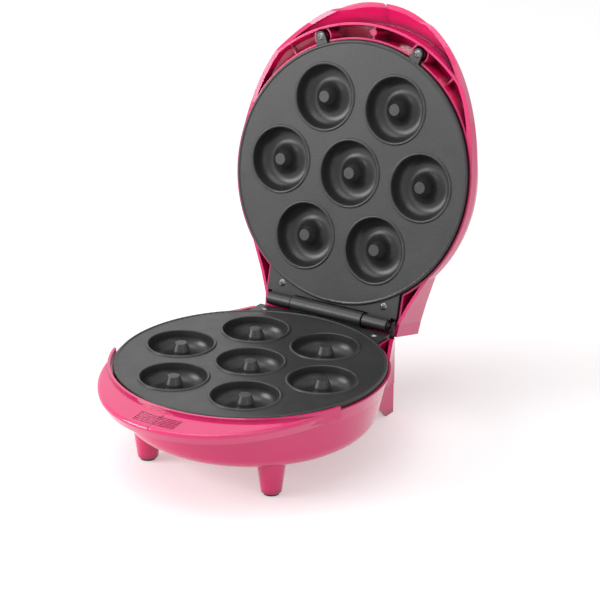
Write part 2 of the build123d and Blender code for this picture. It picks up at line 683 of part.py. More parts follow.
def make_lid_plate():
    """Lid plate, closed, with the two front lugs and the outer knuckles."""
    places = tab_screws(LID_TAB_SCREW)
    plate = cooking_plate([], screw_holes(places), SMALL_SHANK_R, SMALL_SHANK_L + BORE_SPARE)
    for side in (-1, 1):
        tip = PLATE_R + LUG_REACH
        outline = Polyline((tip - LUG_L, -LUG_ROOT), (tip, -LUG_R), (tip, LUG_R), (tip - LUG_L, LUG_ROOT), close=True)
        lug = prism(make_face(outline), PLATE_BACK_Z, TAB_Z) + rod(LUG_R, tip, 0, PLATE_BACK_Z, TAB_Z)
        plate += Rot(Z=side * LUG_ANGLE - 90) * lug
    plate -= screw_holes(lug_screws())
    plate = to_lid(plate)
    start = MIDDLE_KNUCKLE_HALF + KNUCKLE_GAP
    web_z = 2 * MIRROR_Z - TAB_Z
    for side in (-1, 1):
        x_low, x_high = sorted((side * start, side * OUTER_KNUCKLE_X))
        plate += slab(x_low, x_high, TAB_BACK_Y - WEB_LAP, HINGE_Y - WEB_SHORT, web_z, web_z + PLATE_T)
        plate += rod_x(OUTER_BARREL_R, x_low, x_high)
    return plate - hinge_bore()


# Hinge pieces

def make_hinge_pin():
    """Steel pin with a groove at each end."""
    half = OUTER_KNUCKLE_X + PIN_OVERHANG
    pin = rod_x(PIN_R, -half, half)
    for side in (-1, 1):
        start = OUTER_KNUCKLE_X + CLIP_SEAT - PIN_GAP
        x_low, x_high = sorted((side * start, side * (start + CLIP_T + 2 * PIN_GAP)))
        pin -= rod_x(PIN_R + OVER, x_low, x_high) - rod_x(PIN_R - PIN_GROOVE, x_low, x_high)
    return pin


def make_hinge_clip(side):
    """Retaining ring in the pin's groove, open on one side."""
    start = OUTER_KNUCKLE_X + CLIP_SEAT
    x_low, x_high = sorted((side * start, side * (start + CLIP_T)))
    ring = rod_x(CLIP_R, x_low, x_high)
    ring -= rod_x(PIN_R - PIN_GROOVE + THREAD_GAP, x_low - OVER, x_high + OVER)
    mouth = slab(x_low - OVER, x_high + OVER, HINGE_Y - CLIP_MOUTH, HINGE_Y + CLIP_MOUTH,
                 HINGE_Z - CLIP_R - OVER, HINGE_Z)
    return ring - mouth


def sleeve_path():
    """Route of the lead sleeve, from inside the base up beside the hinge."""
    low_x = TAB_HALF - SLEEVE_X[0]
    high_x = TAB_HALF - SLEEVE_X[1]
    return ((low_x, HINGE_Y - SLEEVE_LOW[0], HINGE_Z - SLEEVE_LOW[1]),
            (low_x, HINGE_Y - SLEEVE_KNEE[0], HINGE_Z - SLEEVE_KNEE[1]),
            (high_x, HINGE_Y, HINGE_Z - SLEEVE_TOP[0]), (high_x, HINGE_Y, HINGE_Z + SLEEVE_TOP[1]))


def make_hinge_lead_sleeve():
    """Sleeve that carries the leads up beside the right end of the hinge."""
    return wire(sleeve_path(), SLEEVE_R, SLEEVE_BEND)


# Base housing

def bowl(shrink, rise):
    """Round bowl, drawn in by a wall thickness and raised past its rim."""
    points = [(0, BOWL_FLOOR_Z + shrink), (BOWL_FLOOR_R - shrink, BOWL_FLOOR_Z + shrink),
              (BOWL_MID_R - shrink, BOWL_MID_Z), (BOWL_RIM_R - shrink, BOWL_RIM_Z)]
    if rise:
        points.append((BOWL_RIM_R - shrink, BOWL_RIM_Z + rise))
    points.append((0, BOWL_RIM_Z + rise))
    face = make_face(Polyline(*points, close=True))
    corner = face.vertices().sort_by(Axis.Y)[0:2].sort_by(Axis.X)[-1]
    return revolve(Plane.XZ * fillet(corner, BOWL_FILLET - shrink), Axis.Z)


def neck_block(shrink, rise):
    """Tapered rear neck, drawn in by a wall thickness and raised past the bowl's rim."""
    back_half = TAB_HALF - NECK_BACK_INSET
    top_half = math.sqrt(BOWL_RIM_R ** 2 - NECK_START_Y ** 2) - NECK_INSET
    back = REAR_Y - shrink
    height = BOWL_RIM_Z - BOWL_FLOOR_Z
    faces = []
    for z in (BOWL_FLOOR_Z + shrink, BOWL_RIM_Z + rise):
        grow = (z - BOWL_FLOOR_Z) / height
        low = (back_half + NECK_FLOOR_FRONT, back_half + NECK_FLOOR_BACK)
        front = low[0] + grow * (top_half - low[0]) - shrink
        rear = low[1] + grow * (back_half - low[1]) - shrink
        corners = ((-front, NECK_START_Y), (front, NECK_START_Y), (rear, back), (-rear, back))
        faces.append(Pos(0, 0, z) * make_face(Polyline(*corners, close=True)))
    return loft(faces, ruled=True)


def lip_outline(shrink):
    """Plan of the front lip, a nose arc between two flatter side arcs, drawn in by a wall thickness."""
    nose_r = LIP_NOSE_R - shrink
    front = COLLAR_OUTER_R + LIP_FRONT - shrink
    turn = math.radians(LIP_NOSE_ANGLE)
    shoulder = (nose_r * math.sin(turn), nose_r * (1 - math.cos(turn)) - front)
    join = polar(BOWL_RIM_R - shrink - LIP_JOIN_SINK, LIP_JOIN_ANGLE - 90)
    nose = ThreePointArc((-shoulder[0], shoulder[1]), (0, -front), shoulder)
    side = TangentArc(shoulder, join, tangent=(math.cos(turn), math.sin(turn)))
    back = Polyline(join, (0, 0), (-join[0], join[1]))
    return make_face(nose + side + mirror(side, about=Plane.YZ) + back)


def lip_body(shrink, below):
    """Leaning side of the lip up to the cavity rings, drawn in by a wall thickness."""
    lean = LIP_DRAFT / LIP_BAND
    top = BASE_RIM_Z - LIP_EDGE_Z
    outline = Pos(0, 0, BASE_RIM_Z) * lip_outline(shrink - lean * top)
    return extrude(outline, top + LIP_BAND + below, dir=(0, 0, -1), taper=math.degrees(math.atan(lean)))


def lip_top(drop):
    """Everything under the sloping top of the lip, lowered by a wall thickness."""
    slope = LIP_DROP / LIP_FRONT
    end = COLLAR_OUTER_R + 2 * LIP_FRONT
    return spun(((0, 0), (end, 0), (end, LIP_START_Z - drop - 2 * LIP_FRONT * slope),
                 (COLLAR_OUTER_R, LIP_START_Z - drop), (0, LIP_START_Z - drop)))


def grip_recess():
    """Cutter for the thumb recess, with its ribs left standing."""
    start = COLLAR_OUTER_R + GRIP_START
    reach = GRIP_RIBS * GRIP_PITCH + GRIP_PITCH - GRIP_RIB_W

    def band(inner, width):
        ring = rod(inner + width, 0, 0, LIP_LOW_Z, BASE_RIM_Z)
        return ring - rod(inner, 0, 0, LIP_LOW_Z - OVER, BASE_RIM_Z + OVER)

    recess = band(start, reach) & slab(-GRIP_HALF, GRIP_HALF, -FAR, -start / 2, 0, BASE_RIM_Z)
    recess -= lip_top(GRIP_DEPTH)
    ribs = [band(start + GRIP_PITCH * (step + 1) - GRIP_RIB_W, GRIP_RIB_W) for step in range(GRIP_RIBS)]
    return without(recess, ribs)


def front_lip():
    """Hollow front lip with the ribbed thumb recess."""
    half = lip_body(0, 0) & lip_top(0) & slab(-FAR, 0, -FAR, 0, 0, FAR)
    rim = half.edges().filter_by(lambda e: (e @ 0.5).Z > LIP_EDGE_Z - OVER)
    rim = rim.filter_by(lambda e: math.hypot((e @ 0.5).X, (e @ 0.5).Y) > COLLAR_OUTER_R + LIP_FILLET)
    half = fillet(rim, LIP_FILLET)
    body = half + mirror(half, about=Plane.YZ)
    body -= lip_body(WALL, OVER) & lip_top(WALL)
    return body - grip_recess()


def base_collar():
    """Raised guard wall round the front of the base plate."""
    ring = rod(COLLAR_OUTER_R, 0, 0, COLLAR_TOP_Z - COLLAR_H, COLLAR_TOP_Z)
    ring -= rod(COLLAR_INNER_R, 0, 0, 0, FAR)
    end_y = -COLLAR_OUTER_R * math.sin(math.radians(COLLAR_END_ANGLE))
    return ring & slab(-FAR, FAR, -FAR, end_y, 0, FAR)


def inner_walls(ring_r, z_low, z_high):
    """Thin wall just outside the plate's edge and rear tab, without the chamber inside it."""
    half = TAB_HALF + TAB_WALL_GAP
    outside = rod(ring_r + INNER_WALL, 0, 0, z_low, z_high)
    outside += slab(-half - INNER_WALL, half + INNER_WALL, 0, FAR, z_low, z_high)
    inside = rod(ring_r, 0, 0, z_low - OVER, z_high + OVER)
    inside += slab(-half, half, 0, FAR + OVER, z_low - OVER, z_high + OVER)
    return outside - inside


def rear_leg(side):
    """Thin rear leg: a cheek with a sloping front edge and a return along the back."""
    outer = TAB_HALF - NECK_BACK_INSET + NECK_FLOOR_BACK
    back = REAR_Y - LEG_INSET
    top = BOWL_FLOOR_Z + LEG_LAP
    toe = REAR_Y - LEG_TOE
    cheek = side_prism(((toe - LEG_RAKE, top), (toe, 0), (back, 0), (back, top)), LEG_T / 2)
    leg = Pos(outer - LEG_T / 2, 0, 0) * cheek
    leg += slab(outer - LEG_RETURN, outer, back - LEG_T, back, 0, top)
    return leg if side > 0 else mirror(leg, about=Plane.YZ)


def front_foot(x, y):
    """Conical front foot with a rounded lower edge."""
    height = BOWL_FLOOR_Z + FOOT_LAP - FOOT_BOTTOM_Z
    cone = Cone(FOOT_BOTTOM_R, FOOT_TOP_R, height)
    cone = fillet(cone.edges().sort_by(Axis.Z)[0], FOOT_FILLET)
    return Pos(x, y, FOOT_BOTTOM_Z + height / 2) * cone


def pad_hole(x, y):
    """Hole for the stem of a foot pad."""
    radius = PAD_STEM_R + THREAD_GAP
    return rod(radius, x, y, FOOT_BOTTOM_Z - OVER, FOOT_BOTTOM_Z + PAD_STEM_H + SEAT_GAP)


def case_cap_z():
    """Top of the bosses for the screws from below, under the heat shield."""
    return depth_z(REFLECTOR_DEPTH + REFLECTOR_T)


def case_bosses():
    """Bosses for the screws from below."""
    return [rod(CASE_BOSS_R, x, y, BOWL_FLOOR_Z + OVER, case_cap_z()) for x, y in case_posts()]


def case_wells():
    """Wells for the screw heads, and the holes above them."""
    top = case_cap_z()
    wells = [rod(CASE_WELL_R, x, y, 0, top - CASE_CAP_T) for x, y in case_posts()]
    wells += [rod(CASE_SHANK_R + SEAT_GAP, x, y, 0, top + OVER) for x, y in case_posts()]
    return wells


def tab_bosses():
    """Bosses under the rear screws of the base plate."""
    return [rod(TAB_BOSS_R, x, y, BOWL_FLOOR_Z + OVER, PLATE_BACK_Z) for x, y in tab_screws(BASE_TAB_SCREW)]


def tab_boss_holes():
    """Pilot holes in those bosses."""
    radius = PLATE_SHANK_R + THREAD_GAP
    low = TAB_Z - PLATE_SHANK_L - BORE_SPARE
    return [rod(radius, x, y, low, PLATE_BACK_Z + OVER) for x, y in tab_screws(BASE_TAB_SCREW)]


def neck_top_cut():
    """Room over the low rear part of the neck, and for the swing of the lid's rear edge."""
    cut = slab(-FAR, FAR, HINGE_Y - NECK_LOW_REACH, FAR, BOWL_RIM_Z - NECK_LOW_DROP, FAR)
    cut += slab(-FAR, FAR, REAR_Y - WALL - REAR_STEP, FAR, BOWL_RIM_Z - REAR_DROP, FAR)
    cut += rod_x(SWING_ROOM, -FAR, FAR)
    return cut


def make_base_shell():
    """Moulded lower housing."""
    body = bowl(0, 0) + neck_block(0, 0)
    solid_bowl = body
    hollow = bowl(WALL, DEEP) + neck_block(WALL, RIM_DROP)
    hollow -= inner_walls(RING_INNER_R, BOWL_RIM_Z - INNER_WALL_H, BOWL_RIM_Z)
    hollow = without(hollow, case_bosses() + tab_bosses())
    hollow -= rod(BLOCK_BOSS_R, 0, BLOCK_Y, BOWL_FLOOR_Z, BLOCK_Z)
    body -= hollow
    body -= rod(RING_INNER_R, 0, 0, PLATE_BACK_Z - SHELF_GAP, FAR)
    body += base_collar()
    body += front_lip() - rod(COLLAR_INNER_R, 0, 0, BOWL_RIM_Z - SCREW_LAP, FAR) - solid_bowl
    for (x, y), side in zip(foot_places(), (-1, 1)):
        body += rear_leg(side) + (front_foot(x, y) - hollow)
        body -= pad_hole(x, y)
    body -= neck_top_cut()
    body = without(body, case_wells() + tab_boss_holes())
    body -= rod(SMALL_SHANK_R + THREAD_GAP, 0, BLOCK_Y, BOWL_FLOOR_Z + WALL / 2, BLOCK_Z + OVER)
    body -= Pos(0, REAR_Y, GLAND_Z) * Rot(X=90) * Cylinder(GLAND_R + THREAD_GAP, 4 * WALL)
    return body


def make_foot_pad(x, y):
    """Rubber pad with a stem in the front foot."""
    return rod(PAD_R, x, y, 0, FOOT_BOTTOM_Z) + rod(PAD_STEM_R, x, y, 0, FOOT_BOTTOM_Z + PAD_STEM_H)


# Base fittings

def make_cord_gland():
    """Bushing in the rear wall, with the bore for the mains lead."""
    def ring(radius, y_low, y_high):
        return Pos(0, (y_low + y_high) / 2, GLAND_Z) * Rot(X=90) * Cylinder(radius, y_high - y_low)
    inside = REAR_Y - WALL
    body = ring(GLAND_R, inside - GLAND_INNER_T, REAR_Y + GLAND_FLANGE_T)
    body += ring(GLAND_FLANGE_R, REAR_Y, REAR_Y + GLAND_FLANGE_T)
    body += ring(GLAND_INNER_R, inside - GLAND_INNER_T, inside)
    return body - ring(GLAND_BORE_R, inside - GLAND_INNER_T - OVER, REAR_Y + GLAND_FLANGE_T + OVER)


def make_terminal_block():
    """Ceramic terminal block on its boss, with a sunk screw and two wire ways."""
    length, width, height = BLOCK_SIZE
    top = BLOCK_Z + height + OVER
    block = slab(-length / 2, length / 2, BLOCK_Y - width / 2, BLOCK_Y + width / 2, BLOCK_Z, BLOCK_Z + height)
    block -= rod(SMALL_SHANK_R + THREAD_GAP, 0, BLOCK_Y, BLOCK_Z - OVER, top)
    block -= rod(SMALL_HEAD_R + THREAD_GAP + SEAT_GAP, 0, BLOCK_Y, BLOCK_Z + BLOCK_SCREW_SEAT, top)
    for x in (-BLOCK_WAY_X, BLOCK_WAY_X):
        block -= rod(BLOCK_WAY_R, x, BLOCK_Y, BLOCK_Z + BLOCK_WAY_FLOOR, top)
    return block


def block_screw():
    """Screw of the terminal block, pointing down."""
    return Pos(0, BLOCK_Y, BLOCK_Z + BLOCK_SCREW_SEAT) * Rot(X=180) * small_screw(0, 0, 0)


def make_base_small_screws():
    """All identical small screws in the base."""
    screws = strap_screws()
    for x, y, depth, thickness in sensor_screw_seats():
        screws.append(small_screw(x, y, depth_z(depth + thickness)))
    screws.append(block_screw())
    return screws


def make_thermostat():
    """Disc thermostat with two blades."""
    top = depth_z(SENSOR_SEAT_DEPTH + SEAT_GAP)
    flange_low = top - SENSOR_FLANGE_H
    body = rod(SENSOR_R, 0, SENSOR_Y, flange_low, top)
    body += rod(SENSOR_BODY_R, 0, SENSOR_Y, flange_low - SENSOR_BODY_H, top)
    thick, width, length = SENSOR_BLADE
    for x in (-SENSOR_BLADE_X, SENSOR_BLADE_X):
        body += slab(x - thick / 2, x + thick / 2, SENSOR_Y - width / 2, SENSOR_Y + width / 2,
                     flange_low - SENSOR_BODY_H - length, flange_low)
    return body


def make_thermostat_bracket():
    """Steel strip that holds the thermostat against its seat."""
    top = depth_z(BRACKET_DEPTH)
    low = top - BRACKET_T
    reach = BRACKET_HALF + BRACKET_END
    strip = slab(-reach, reach, SENSOR_Y - BRACKET_END, SENSOR_Y + BRACKET_END, low, top)
    strip += rod(SENSOR_R, 0, SENSOR_Y, low, top)
    strip -= rod(SENSOR_BODY_R + SEAT_GAP, 0, SENSOR_Y, low - OVER, top + OVER)
    for x in (-BRACKET_HALF, BRACKET_HALF):
        strip -= rod(SMALL_SHANK_R + THREAD_GAP, x, SENSOR_Y, low - OVER, top + OVER)
    return strip


def make_thermal_fuse():
    """Thermal fuse with a short lead at each end."""
    z = depth_z(FUSE_CLIP_DEPTH - FUSE_R - THREAD_GAP)
    half = FUSE_L / 2
    body = rod_x(FUSE_R, -half, half, 0, z)
    body += rod_x(FUSE_LEAD_R, -half - FUSE_LEAD_L, half + FUSE_LEAD_L, 0, z)
    return fuse_place(FUSE_OFFSET) * body


def make_fuse_clip():
    """Steel strip that holds the fuse against its pad."""
    top = depth_z(FUSE_CLIP_DEPTH)
    half = FUSE_CLIP_HALF
    clip = slab(-half, half, -TAG_R, FUSE_OFFSET + FUSE_R + SCREW_LAP, top - TAG_T, top)
    clip -= rod(SMALL_SHANK_R + THREAD_GAP, 0, 0, top - TAG_T - OVER, top + OVER)
    return fuse_place() * clip


def make_earth_tag():
    """Ring tag of the earth lead."""
    top = depth_z(EARTH_DEPTH)
    low = top - TAG_T
    tag = rod(TAG_R, 0, -SENSOR_Y, low, top)
    tag += slab(-TAG_R / 2, TAG_R / 2, -SENSOR_Y, TAG_L - SENSOR_Y, low, top)
    return tag - rod(SMALL_SHANK_R + THREAD_GAP, 0, -SENSOR_Y, low - OVER, top + OVER)


def make_base_leads():
    """Insulated leads from the terminal block to the heater and up to the hinge."""
    front = BLOCK_Y - BLOCK_SIZE[1] / 2 - SEAT_GAP
    z = BLOCK_Z + LEAD_RISE
    end_z = depth_z(HEATER_DEPTH + HEATER_LEG) - SEAT_GAP
    leads = []
    for (x, y), block_x in zip(heater_ends(), (LEAD_X, -LEAD_X)):
        leads.append(wire(((block_x, front, z), (x, y, z), (x, y, end_z)), WIRE_R, LEAD_BENDS[0]))
    side = BLOCK_SIZE[0] / 2 + SEAT_GAP
    x, y, sleeve_z = sleeve_path()[0]
    run, in_x, in_y, rise = HINGE_LEAD_KNEE
    to_hinge = ((side, BLOCK_Y, z), (side + run, BLOCK_Y, z), (x - in_x, y - in_y, z + rise),
                (x, y, sleeve_z - SEAT_GAP - SCREW_LAP))
    leads.append(wire(to_hinge, WIRE_R, LEAD_BENDS[1]))
    return leads


def make_base_plate_screws():
    """Two cross-recess screws at the back of the base plate."""
    return [plate_screw(x, y) for x, y in tab_screws(BASE_TAB_SCREW)]


def make_base_case_screws():
    """Three screws from below, through the heat shield into the plate's posts."""
    seat = case_cap_z() - CASE_CAP_T
    screws = []
    for x, y in case_posts():
        screw = rod(CASE_HEAD_R, x, y, seat - CASE_HEAD_H, seat)
        screw += rod(CASE_SHANK_R, x, y, seat - SCREW_LAP, depth_z(REFLECTOR_DEPTH) + CASE_SCREW_REACH)
        screw -= cross(x, y, seat - CASE_HEAD_H, RECESS_REACH * CASE_HEAD_R, RECESS_W, CASE_HEAD_H)
        screws.append(screw)
    return screws


# Lid housing, modelled closed

def brim_places():
    """Plan points of the brim's edge on the right, with the heights of its top."""
    points = []
    for angle, reach, edge, crown in BRIM_POINTS:
        x, y = polar(PLATE_R + reach, angle - 90)
        points.append((x, y, edge, crown))
    return points


def lid_outline(shrink):
    """Plan of the lid: front brim, sides and rear neck, drawn in by a wall thickness."""
    def inward(x, y):
        length = math.hypot(x, y)
        return (x * (1 - shrink / length), y * (1 - shrink / length))
    right = [(0.0, shrink - PLATE_R - BRIM_FRONT)]
    right += [inward(x, y) for x, y, _, _ in brim_places()]
    left = [(-x, y) for x, y in reversed(right[1:])]
    brim = Spline(*(left + right), tangents=((0, -1), (0, 1)))
    neck = [(half - shrink, HINGE_Y - front) for front, half, _, _ in LID_NECK[1:-1]]
    middle = polar(math.hypot(*right[-1]), LID_SIDE_ANGLE)
    side = ThreePointArc(right[-1], middle, neck[0])
    other = ThreePointArc(left[0], (-middle[0], middle[1]), (-neck[0][0], neck[0][1]))
    back = neck + [(LID_NECK[-1][1] - shrink, LID_REAR_Y - shrink)]
    rear = Polyline(*back, *[(-x, y) for x, y in reversed(back)])
    return make_face(brim + side + rear + other)


def dome_arcs():
    """Centre radius of the shoulder, and radius and centre height of the crown."""
    shoulder_x = DOME_R - DOME_SHOULDER_R
    rise = DOME_RISE - DOME_SHOULDER_R
    crown_r = (shoulder_x ** 2 + DOME_RISE ** 2 - DOME_SHOULDER_R ** 2) / (2 * rise)
    return shoulder_x, crown_r, lid_z(DOME_EDGE + DOME_RISE) - crown_r


def dome(shrink, below):
    """Dome of the lid: a round shoulder and a shallow crown that meet smoothly, drawn in by a wall."""
    base = lid_z(LID_RIM) - below
    edge = lid_z(DOME_EDGE)
    shoulder_x, crown_r, crown_z = dome_arcs()
    tilt = math.atan2(edge - crown_z, shoulder_x)

    def shoulder(angle):
        radius = DOME_SHOULDER_R - shrink
        return (shoulder_x + radius * math.cos(angle), edge + radius * math.sin(angle))

    def crown(angle):
        radius = crown_r - shrink
        return (radius * math.cos(angle), crown_z + radius * math.sin(angle))

    arcs = ThreePointArc(shoulder(0), shoulder(tilt / 2), shoulder(tilt))
    arcs += ThreePointArc(crown(tilt), crown((tilt + math.pi / 2) / 2), crown(math.pi / 2))
    rest = Polyline(crown(math.pi / 2), (0, base), (DOME_R - shrink, base), shoulder(0))
    return revolve(Plane.XZ * make_face(arcs + rest), Axis.Z)


def neck_section(y, half, side, crown, shrink, below):
    """Cross section of the neck: upright sides and a low arched top."""
    low = lid_z(LID_RIM) - below
    half = half - shrink
    side_z = lid_z(side - shrink)
    arch = ThreePointArc((half, side_z), (0, lid_z(crown - shrink)), (-half, side_z))
    legs = Polyline((-half, side_z), (-half, low), (half, low), (half, side_z))
    face = make_face(arch + legs)
    corners = face.vertices().sort_by(Axis.Y)[2:4]
    face = fillet(corners, LID_NECK_FILLET - shrink / 2)
    return Plane(origin=(0, y, 0), x_dir=(1, 0, 0), z_dir=(0, -1, 0)) * face


def lid_neck(shrink, below):
    """Rear neck of the lid, drawn in by a wall thickness."""
    sections = []
    for front, half, side, crown in LID_NECK:
        y = min(HINGE_Y - front, LID_REAR_Y - shrink)
        sections.append(neck_section(y, half, side, crown, shrink, below))
    return loft(sections, ruled=True)


def brim_section(y, half, edge, crown, drop, low):
    """Arched section of the brim's top, through its edge and its crown."""
    sag = crown - edge
    radius = (half ** 2 + sag ** 2) / (2 * sag)
    reach = DOME_R + LID_WALL
    end_z = lid_z(crown - drop - radius + math.sqrt(radius ** 2 - reach ** 2))
    arch = ThreePointArc((reach, end_z), (0, lid_z(crown - drop)), (-reach, end_z))
    legs = Polyline((-reach, end_z), (-reach, low), (reach, low), (reach, end_z))
    return Plane(origin=(0, y, 0), x_dir=(1, 0, 0), z_dir=(0, -1, 0)) * make_face(arch + legs)


def brim_top(drop):
    """Everything under the arched top of the brim, lowered by a wall thickness."""
    lead, half, edge, crown = BRIM_LEAD
    rows = [(-PLATE_R - lead, half, edge, crown)]
    rows += [(y, x, edge, crown) for x, y, edge, crown in brim_places()]
    return loft([brim_section(*row, drop, -FAR) for row in [*rows, *BRIM_TAIL]])


def under_brim():
    """Everything under the brim's lower edge, outside the collar."""
    lower = [(-PLATE_R - front, lid_z(height)) for front, height in BRIM_LOWER]
    points = lower + [(lower[-1][0], -FAR), (lower[0][0], -FAR)]
    return side_prism(points, FAR) - rod(LID_COLLAR_R, 0, 0, -FAR, FAR)


def lid_brim():
    """Solid brim from its lower edge to its rounded top edge."""
    body = prism(lid_outline(0), lid_z(LID_RIM), FAR) & brim_top(0)
    half = body & slab(-FAR, 0, -FAR, 0, 0, FAR)
    rim = half.edges().filter_by(lambda e: (e @ 0.5).Z > lid_z(LID_RIM + BRIM_FILLET))
    rim = rim.filter_by(lambda e: (e @ 0.5).Y < -BRIM_FILLET and math.hypot((e @ 0.5).X, (e @ 0.5).Y) > PLATE_R)
    half = fillet(rim, BRIM_FILLET)
    body = half + mirror(half, about=Plane.YZ) + (body & slab(-FAR, FAR, 0, FAR, 0, FAR))
    return body - under_brim()


def brim_hollow():
    """Space inside the brim, open below."""
    return prism(lid_outline(BRIM_T), lid_z(-DEEP), FAR) & brim_top(LID_WALL)


def lid_collar():
    """Collar wall between the front pockets and the brim's channel."""
    wall = rod(LID_COLLAR_R, 0, 0, lid_z(LID_RIM), FAR)
    wall -= rod(LID_COLLAR_R - LID_COLLAR_T, 0, 0, 0, FAR + OVER)
    return wall & slab(-FAR, FAR, -FAR, -LID_COLLAR_END, 0, FAR)


def lug_cups():
    """U-shaped walls round the front lugs, the screw bosses in them, and the ribs between the pockets."""
    parts = []
    for x, y in lug_screws():
        cup = rod(LUG_CUP_R, x, y, lid_z(LID_RIM + LUG_CUP_DROP), FAR)
        parts.append(cup - rod(LUG_CUP_R - LUG_CUP_T, x, y, 0, FAR + OVER))
        parts.append(rod(LUG_R, x, y, lid_z(PLATE_BACK), FAR))
    start = RING_INNER_R + INNER_WALL / 2
    reach = LID_COLLAR_R - LID_COLLAR_T / 2
    for angle, low in POCKET_RIBS:
        parts.append(Rot(Z=angle) * slab(start, reach, -RIB_T / 2, RIB_T / 2, lid_z(low), FAR))
    parts.append(rod(MARKER_R, 0, -(RING_INNER_R + LID_COLLAR_R) / 2, lid_z(LID_RIM + MARKER_DROP), FAR))
    return parts


def lid_tab_bosses():
    """Bosses behind the rear screws of the lid plate."""
    return [rod(TAB_BOSS_R, x, y, lid_z(PLATE_BACK), FAR) for x, y in tab_screws(LID_TAB_SCREW)]


def lid_screw_holes():
    """Pilot holes for the lid plate's four screws."""
    radius = PLATE_SHANK_R + THREAD_GAP
    top = lid_z(BASE_RIM_Z - TAB_Z + PLATE_SHANK_L + BORE_SPARE)
    return [rod(radius, x, y, lid_z(0), top) for x, y in tab_screws(LID_TAB_SCREW) + lug_screws()]


def lamp_pad(z_low, z_high):
    """Flat pad on the neck's top for the two lamp lenses."""
    return prism(Pos(0, LAMP_Y) * SlotCenterToCenter(2 * (LAMP_PAD_HALF - LAMP_PAD_R), 2 * LAMP_PAD_R), z_low, z_high)


def lug_room():
    """Notches in the ring wall where the lid plate's lugs pass."""
    notches = []
    half = LUG_ROOT + LUG_ROOM
    for side in (-1, 1):
        tip = PLATE_R + LUG_REACH
        notch = slab(tip - LUG_L, tip, -half, half, lid_z(0), lid_z(PLATE_BACK))
        notch += rod(half, tip, 0, lid_z(0), lid_z(PLATE_BACK))
        notches.append(Rot(Z=side * LUG_ANGLE - 90) * notch)
    return notches


def holder_posts():
    """Posts from the top for the lamp holder."""
    z_low = lid_z(HOLDER_DEPTH + HOLDER_T)
    return [rod(POST_R, x, LAMP_Y, z_low, FAR) for x in (-HOLDER_POST_X, HOLDER_POST_X)]


def holder_post_holes():
    """Screw holes in those posts."""
    z_low = lid_z(HOLDER_DEPTH + HOLDER_T)
    radius = SMALL_SHANK_R + THREAD_GAP
    return [rod(radius, x, LAMP_Y, z_low - OVER, z_low + SMALL_SHANK_L) for x in (-HOLDER_POST_X, HOLDER_POST_X)]


def lens_holes():
    """Stepped holes for the lenses."""
    top = lid_z(LAMP_PAD)
    holes = []
    for x in (-LAMP_X, LAMP_X):
        holes.append(rod(LENS_R + THREAD_GAP, x, LAMP_Y, top - LAMP_PAD_DEEP, top + OVER))
        holes.append(rod(LENS_FLANGE_R + SEAT_GAP, x, LAMP_Y, top - LENS_SEAT, top + OVER))
    return holes


def make_lid_shell():
    """Moulded upper housing, closed."""
    body = dome(0, 0) + lid_neck(0, 0) + lid_brim()
    body += lamp_pad(lid_z(LAMP_PAD - LAMP_PAD_DEEP), lid_z(LAMP_PAD))
    hollow = dome(LID_WALL, DEEP) + lid_neck(LID_WALL, DEEP) + brim_hollow()
    hollow -= lamp_pad(lid_z(LAMP_PAD - LID_WALL), FAR)
    hollow -= inner_walls(RING_INNER_R, lid_z(LID_RIM), FAR)
    hollow -= lid_collar()
    hollow = without(hollow, lug_cups() + lid_tab_bosses() + holder_posts())
    body -= hollow
    body -= rod(RING_INNER_R, 0, 0, lid_z(0), lid_z(LID_ROOM))
    return without(body, lug_room() + lid_screw_holes() + lens_holes() + holder_post_holes())


def make_lens(x):
    """Round lamp lens with a flange."""
    top = lid_z(LAMP_PAD)
    lens = rod(LENS_R, x, LAMP_Y, top - LID_WALL - LENS_TAIL, top)
    return lens + rod(LENS_FLANGE_R, x, LAMP_Y, top - LENS_SEAT, top + LENS_RISE)


def make_lamp(x):
    """Small indicator lamp behind its lens."""
    low = lid_z(HOLDER_DEPTH - LAMP_GAP)
    top = lid_z(LAMP_PAD) - LID_WALL - LENS_TAIL - SCREW_LAP
    lamp = rod(LAMP_R, x, LAMP_Y, low, top - LAMP_R)
    return lamp + Pos(x, LAMP_Y, top - LAMP_R) * Sphere(LAMP_R)


def make_lamp_holder():
    """Strip that carries both lamps."""
    low = lid_z(HOLDER_DEPTH)
    reach = HOLDER_POST_X + HOLDER_END
    strip = slab(-reach, reach, LAMP_Y - HOLDER_HALF, LAMP_Y + HOLDER_HALF, low, low + HOLDER_T)
    for x in (-LAMP_X, LAMP_X):
        strip -= rod(LAMP_R + THREAD_GAP, x, LAMP_Y, low - OVER, low + HOLDER_T + OVER)
    for x in (-HOLDER_POST_X, HOLDER_POST_X):
        strip -= rod(SMALL_SHANK_R + THREAD_GAP, x, LAMP_Y, low - OVER, low + HOLDER_T + OVER)
    return strip


def make_lid_small_screws():
    """All identical small screws in the lid, closed."""
    screws = [to_lid(screw) for screw in strap_screws()]
    screws += [to_lid(small_screw(x, y, case_cap_z())) for x, y in case_posts()]
    screws += [small_screw(x, LAMP_Y, lid_z(HOLDER_DEPTH)) for x in (-HOLDER_POST_X, HOLDER_POST_X)]
    return screws


def make_lid_plate_screws():
    """Four cross-recess screws of the lid plate, closed."""
    return [to_lid(plate_screw(x, y)) for x, y in tab_screws(LID_TAB_SCREW) + lug_screws()]


